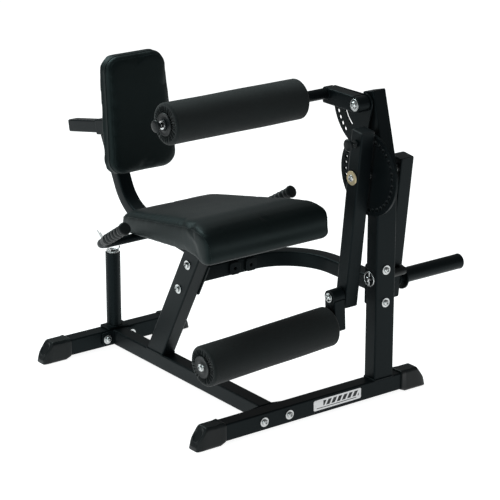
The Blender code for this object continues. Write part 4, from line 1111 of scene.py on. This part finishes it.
class LEGMACHINE_OT_welds(bpy.types.Operator):
    """Make the weld beads where tubes meet"""
    bl_idname = "legmachine.welds"
    bl_label = "Welds"

    def execute(self, context):
        upright = rounded(0.076, 0.051, 0.005)
        self.bead("weld_upright", placed(upright, at(BRACE_OFF, 0, 65.6), X, Y), Z)
        foot = placed(rounded(0.051, 0.076, 0.005), at(0, 389, 400), X, POST_BACK)
        level = foot + POST_UP * ((0.0655 - foot[:, 2]) / POST_UP[2])[:, None]
        shift = at(0, POST_FOOT, 0)[1] - (level[:, 1].min() + level[:, 1].max()) / 2
        self.bead("weld_seat_post", level + Y * shift, Z)
        square = rounded(0.051, 0.051, 0.005)
        self.bead("weld_brace_seat", placed(square, at(31.5, BRACE_OFF, BRACE_HEIGHT), Y, Z), X)
        self.bead("weld_brace_upright", placed(square, at(BRACE_OFF, 31.5, BRACE_HEIGHT), X, Z), Y)
        hold = middle("hold_down_shaft")
        start = np.array((corner("hold_down_arm", 0)[0], hold[1], hold[2]))
        self.bead("weld_hold_down", placed(circle(48) * 0.0175, start, Y, Z), X, "hold_down")
        post = middle("storage_post")
        post[2] = 0.0716
        self.bead("weld_storage", placed(circle(48) * 0.025, post, X, Y), Z)
        peg = middle("weight_peg")
        peg[0] = corner("weight_arm", 1)[0]
        self.bead("weld_peg", placed(circle(48) * 0.025, peg, Y, Z), X, "weight_arm")
        return {"FINISHED"}

    @staticmethod
    def bead(name, loop, way, body="frame"):
        """A cord along the joint whose radius ripples once for each droplet."""
        path = spread(loop, 180)
        run = np.linalg.norm(np.diff(path, axis=0), axis=1).sum()
        ripple = 1 + 0.16 * np.abs(np.sin(np.linspace(0, np.pi * round(run / 0.0042), 180)))
        outline = circle(10)[None] * (sizes().weld * ripple)[:, None, None]
        dress(shell(name, sweep(outline, path, way, closed=True), "loop", 70), "powder_coat", body)


class LEGMACHINE_OT_label(bpy.types.Operator):
    """Make the label plate on the front beam"""
    bl_idname = "legmachine.label"
    bl_label = "Label"

    def execute(self, context):
        wide, tall = LABEL_SIZE
        shape = rounded(wide, tall, 0.005)
        centre = at(234, 0, 39.5)
        centre[1] = corner("front_beam", 0)[1]
        rings = np.array([placed(shape * scale, centre - Y * step, X, Z)
                          for scale, step in ((0.995, -0.0002), (1, 0.0002), (1, 0.0005),
                                              (0.995, 0.0007))])
        plate = shell("label_plate", rings)
        flat = np.empty(len(plate.data.vertices) * 3)
        plate.data.vertices.foreach_get("co", flat)
        index = np.empty(len(plate.data.loops), int)
        plate.data.loops.foreach_get("vertex_index", index)
        spot = flat.reshape(-1, 3)[index]
        u = (spot[:, 0] - centre[0]) / wide + 0.5
        v = (spot[:, 2] - centre[2]) / tall + 0.5
        plate.data.uv_layers[0].data.foreach_set("uv", np.stack([u, v], -1).ravel())
        dress(plate, "label")
        return {"FINISHED"}


class LEGMACHINE_OT_stage(bpy.types.Operator):
    """Make the floor, the light and the camera"""
    bl_idname = "legmachine.stage"
    bl_label = "Stage"

    def execute(self, context):
        scene = context.scene
        scene.view_settings.view_transform = "Standard"
        span = np.linspace(-14, 14, 3)
        i, j = np.meshgrid(span, span, indexing="ij")
        points = np.stack([i, j, np.full_like(i, -0.0005)], -1).reshape(-1, 3)
        quads = [(0, 3, 4, 1), (1, 4, 5, 2), (3, 6, 7, 4), (4, 7, 8, 5)]
        mesh = bpy.data.meshes.new("floor")
        mesh.from_pydata(points.tolist(), [], quads)
        floor = bpy.data.objects.new("floor", mesh)
        mesh.materials.append(PAINT["floor"])
        scene.collection.objects.link(floor)
        scene.world = self.studio()
        self.lamp("top_softbox", (-0.6, 1.6, 3.4), (0, 0, 0.3), 2.6, 105)
        self.lamp("front_softbox", (-4.6, -1.6, 1.6), (0, 0, 0.6), 2.0, 45)
        camera = bpy.data.cameras.new("camera")
        camera.lens, camera.sensor_width = 155.97, 36
        camera.clip_end = 60
        view = bpy.data.objects.new("camera", camera)
        view.location = at(-3660.3, -4775.2, 2612.1)
        view.rotation_euler = (1.2427, -0.0011, -0.6426)
        scene.collection.objects.link(view)
        scene.camera = view
        return {"FINISHED"}

    @staticmethod
    def studio():
        """White to the eye and dimmer to the machine, as a lit backdrop in a dark studio."""
        world = bpy.data.worlds.new("studio")
        world.use_nodes = True
        tree = world.node_tree
        seen = Socket(tree, tree.nodes.new("ShaderNodeLightPath").outputs["Is Camera Ray"])
        tree.nodes["Background"].inputs["Color"].default_value = (1, 1, 1, 1)
        tree.links.new((seen * 0.9 + 0.2).out, tree.nodes["Background"].inputs["Strength"])
        return world

    @staticmethod
    def lamp(name, place, aim, size, power):
        light = bpy.data.lights.new(name, "AREA")
        light.shape, light.size, light.energy = "DISK", size, power
        light.color = (0.86, 1, 1)
        thing = bpy.data.objects.new(name, light)
        thing.location = place
        way = Vector(aim) - Vector(place)
        thing.rotation_euler = way.to_track_quat("-Z", "Y").to_euler()
        bpy.context.scene.collection.objects.link(thing)


class LEGMACHINE_PT_panel(bpy.types.Panel):
    """Lists the machine's settings and makers"""
    bl_idname = "LEGMACHINE_PT_panel"
    bl_label = "Leg machine"
    bl_space_type = "VIEW_3D"
    bl_region_type = "UI"
    bl_category = "Leg machine"

    def draw(self, context):
        for group in (context.scene.leg_machine_sizes, context.scene.leg_machine_colours):
            for key in type(group).__annotations__:
                self.layout.prop(group, key)
        for maker in MAKERS:
            self.layout.operator(maker.bl_idname)


MAKERS = (LEGMACHINE_OT_finishes, LEGMACHINE_OT_bent_tubes, LEGMACHINE_OT_shoes,
          LEGMACHINE_OT_bolts, LEGMACHINE_OT_seat, LEGMACHINE_OT_backrest,
          LEGMACHINE_OT_rollers, LEGMACHINE_OT_grips, LEGMACHINE_OT_knobs,
          LEGMACHINE_OT_main_pivot, LEGMACHINE_OT_stop, LEGMACHINE_OT_storage,
          LEGMACHINE_OT_peg, LEGMACHINE_OT_end_plugs, LEGMACHINE_OT_welds,
          LEGMACHINE_OT_label, LEGMACHINE_OT_stage)
CLASSES = (LegMachineColours, LegMachineSizes, *MAKERS, LEGMACHINE_PT_panel)


def register():
    for cls in CLASSES:
        bpy.utils.register_class(cls)
    bpy.types.Scene.leg_machine_colours = PointerProperty(type=LegMachineColours)
    bpy.types.Scene.leg_machine_sizes = PointerProperty(type=LegMachineSizes)


def unregister():
    del bpy.types.Scene.leg_machine_sizes
    del bpy.types.Scene.leg_machine_colours
    for cls in reversed(CLASSES):
        bpy.utils.unregister_class(cls)


def main():
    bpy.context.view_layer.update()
    register()
    for maker in MAKERS:
        group, name = maker.bl_idname.split(".")
        getattr(getattr(bpy.ops, group), name)()


if __name__ == "__main__":
    main()
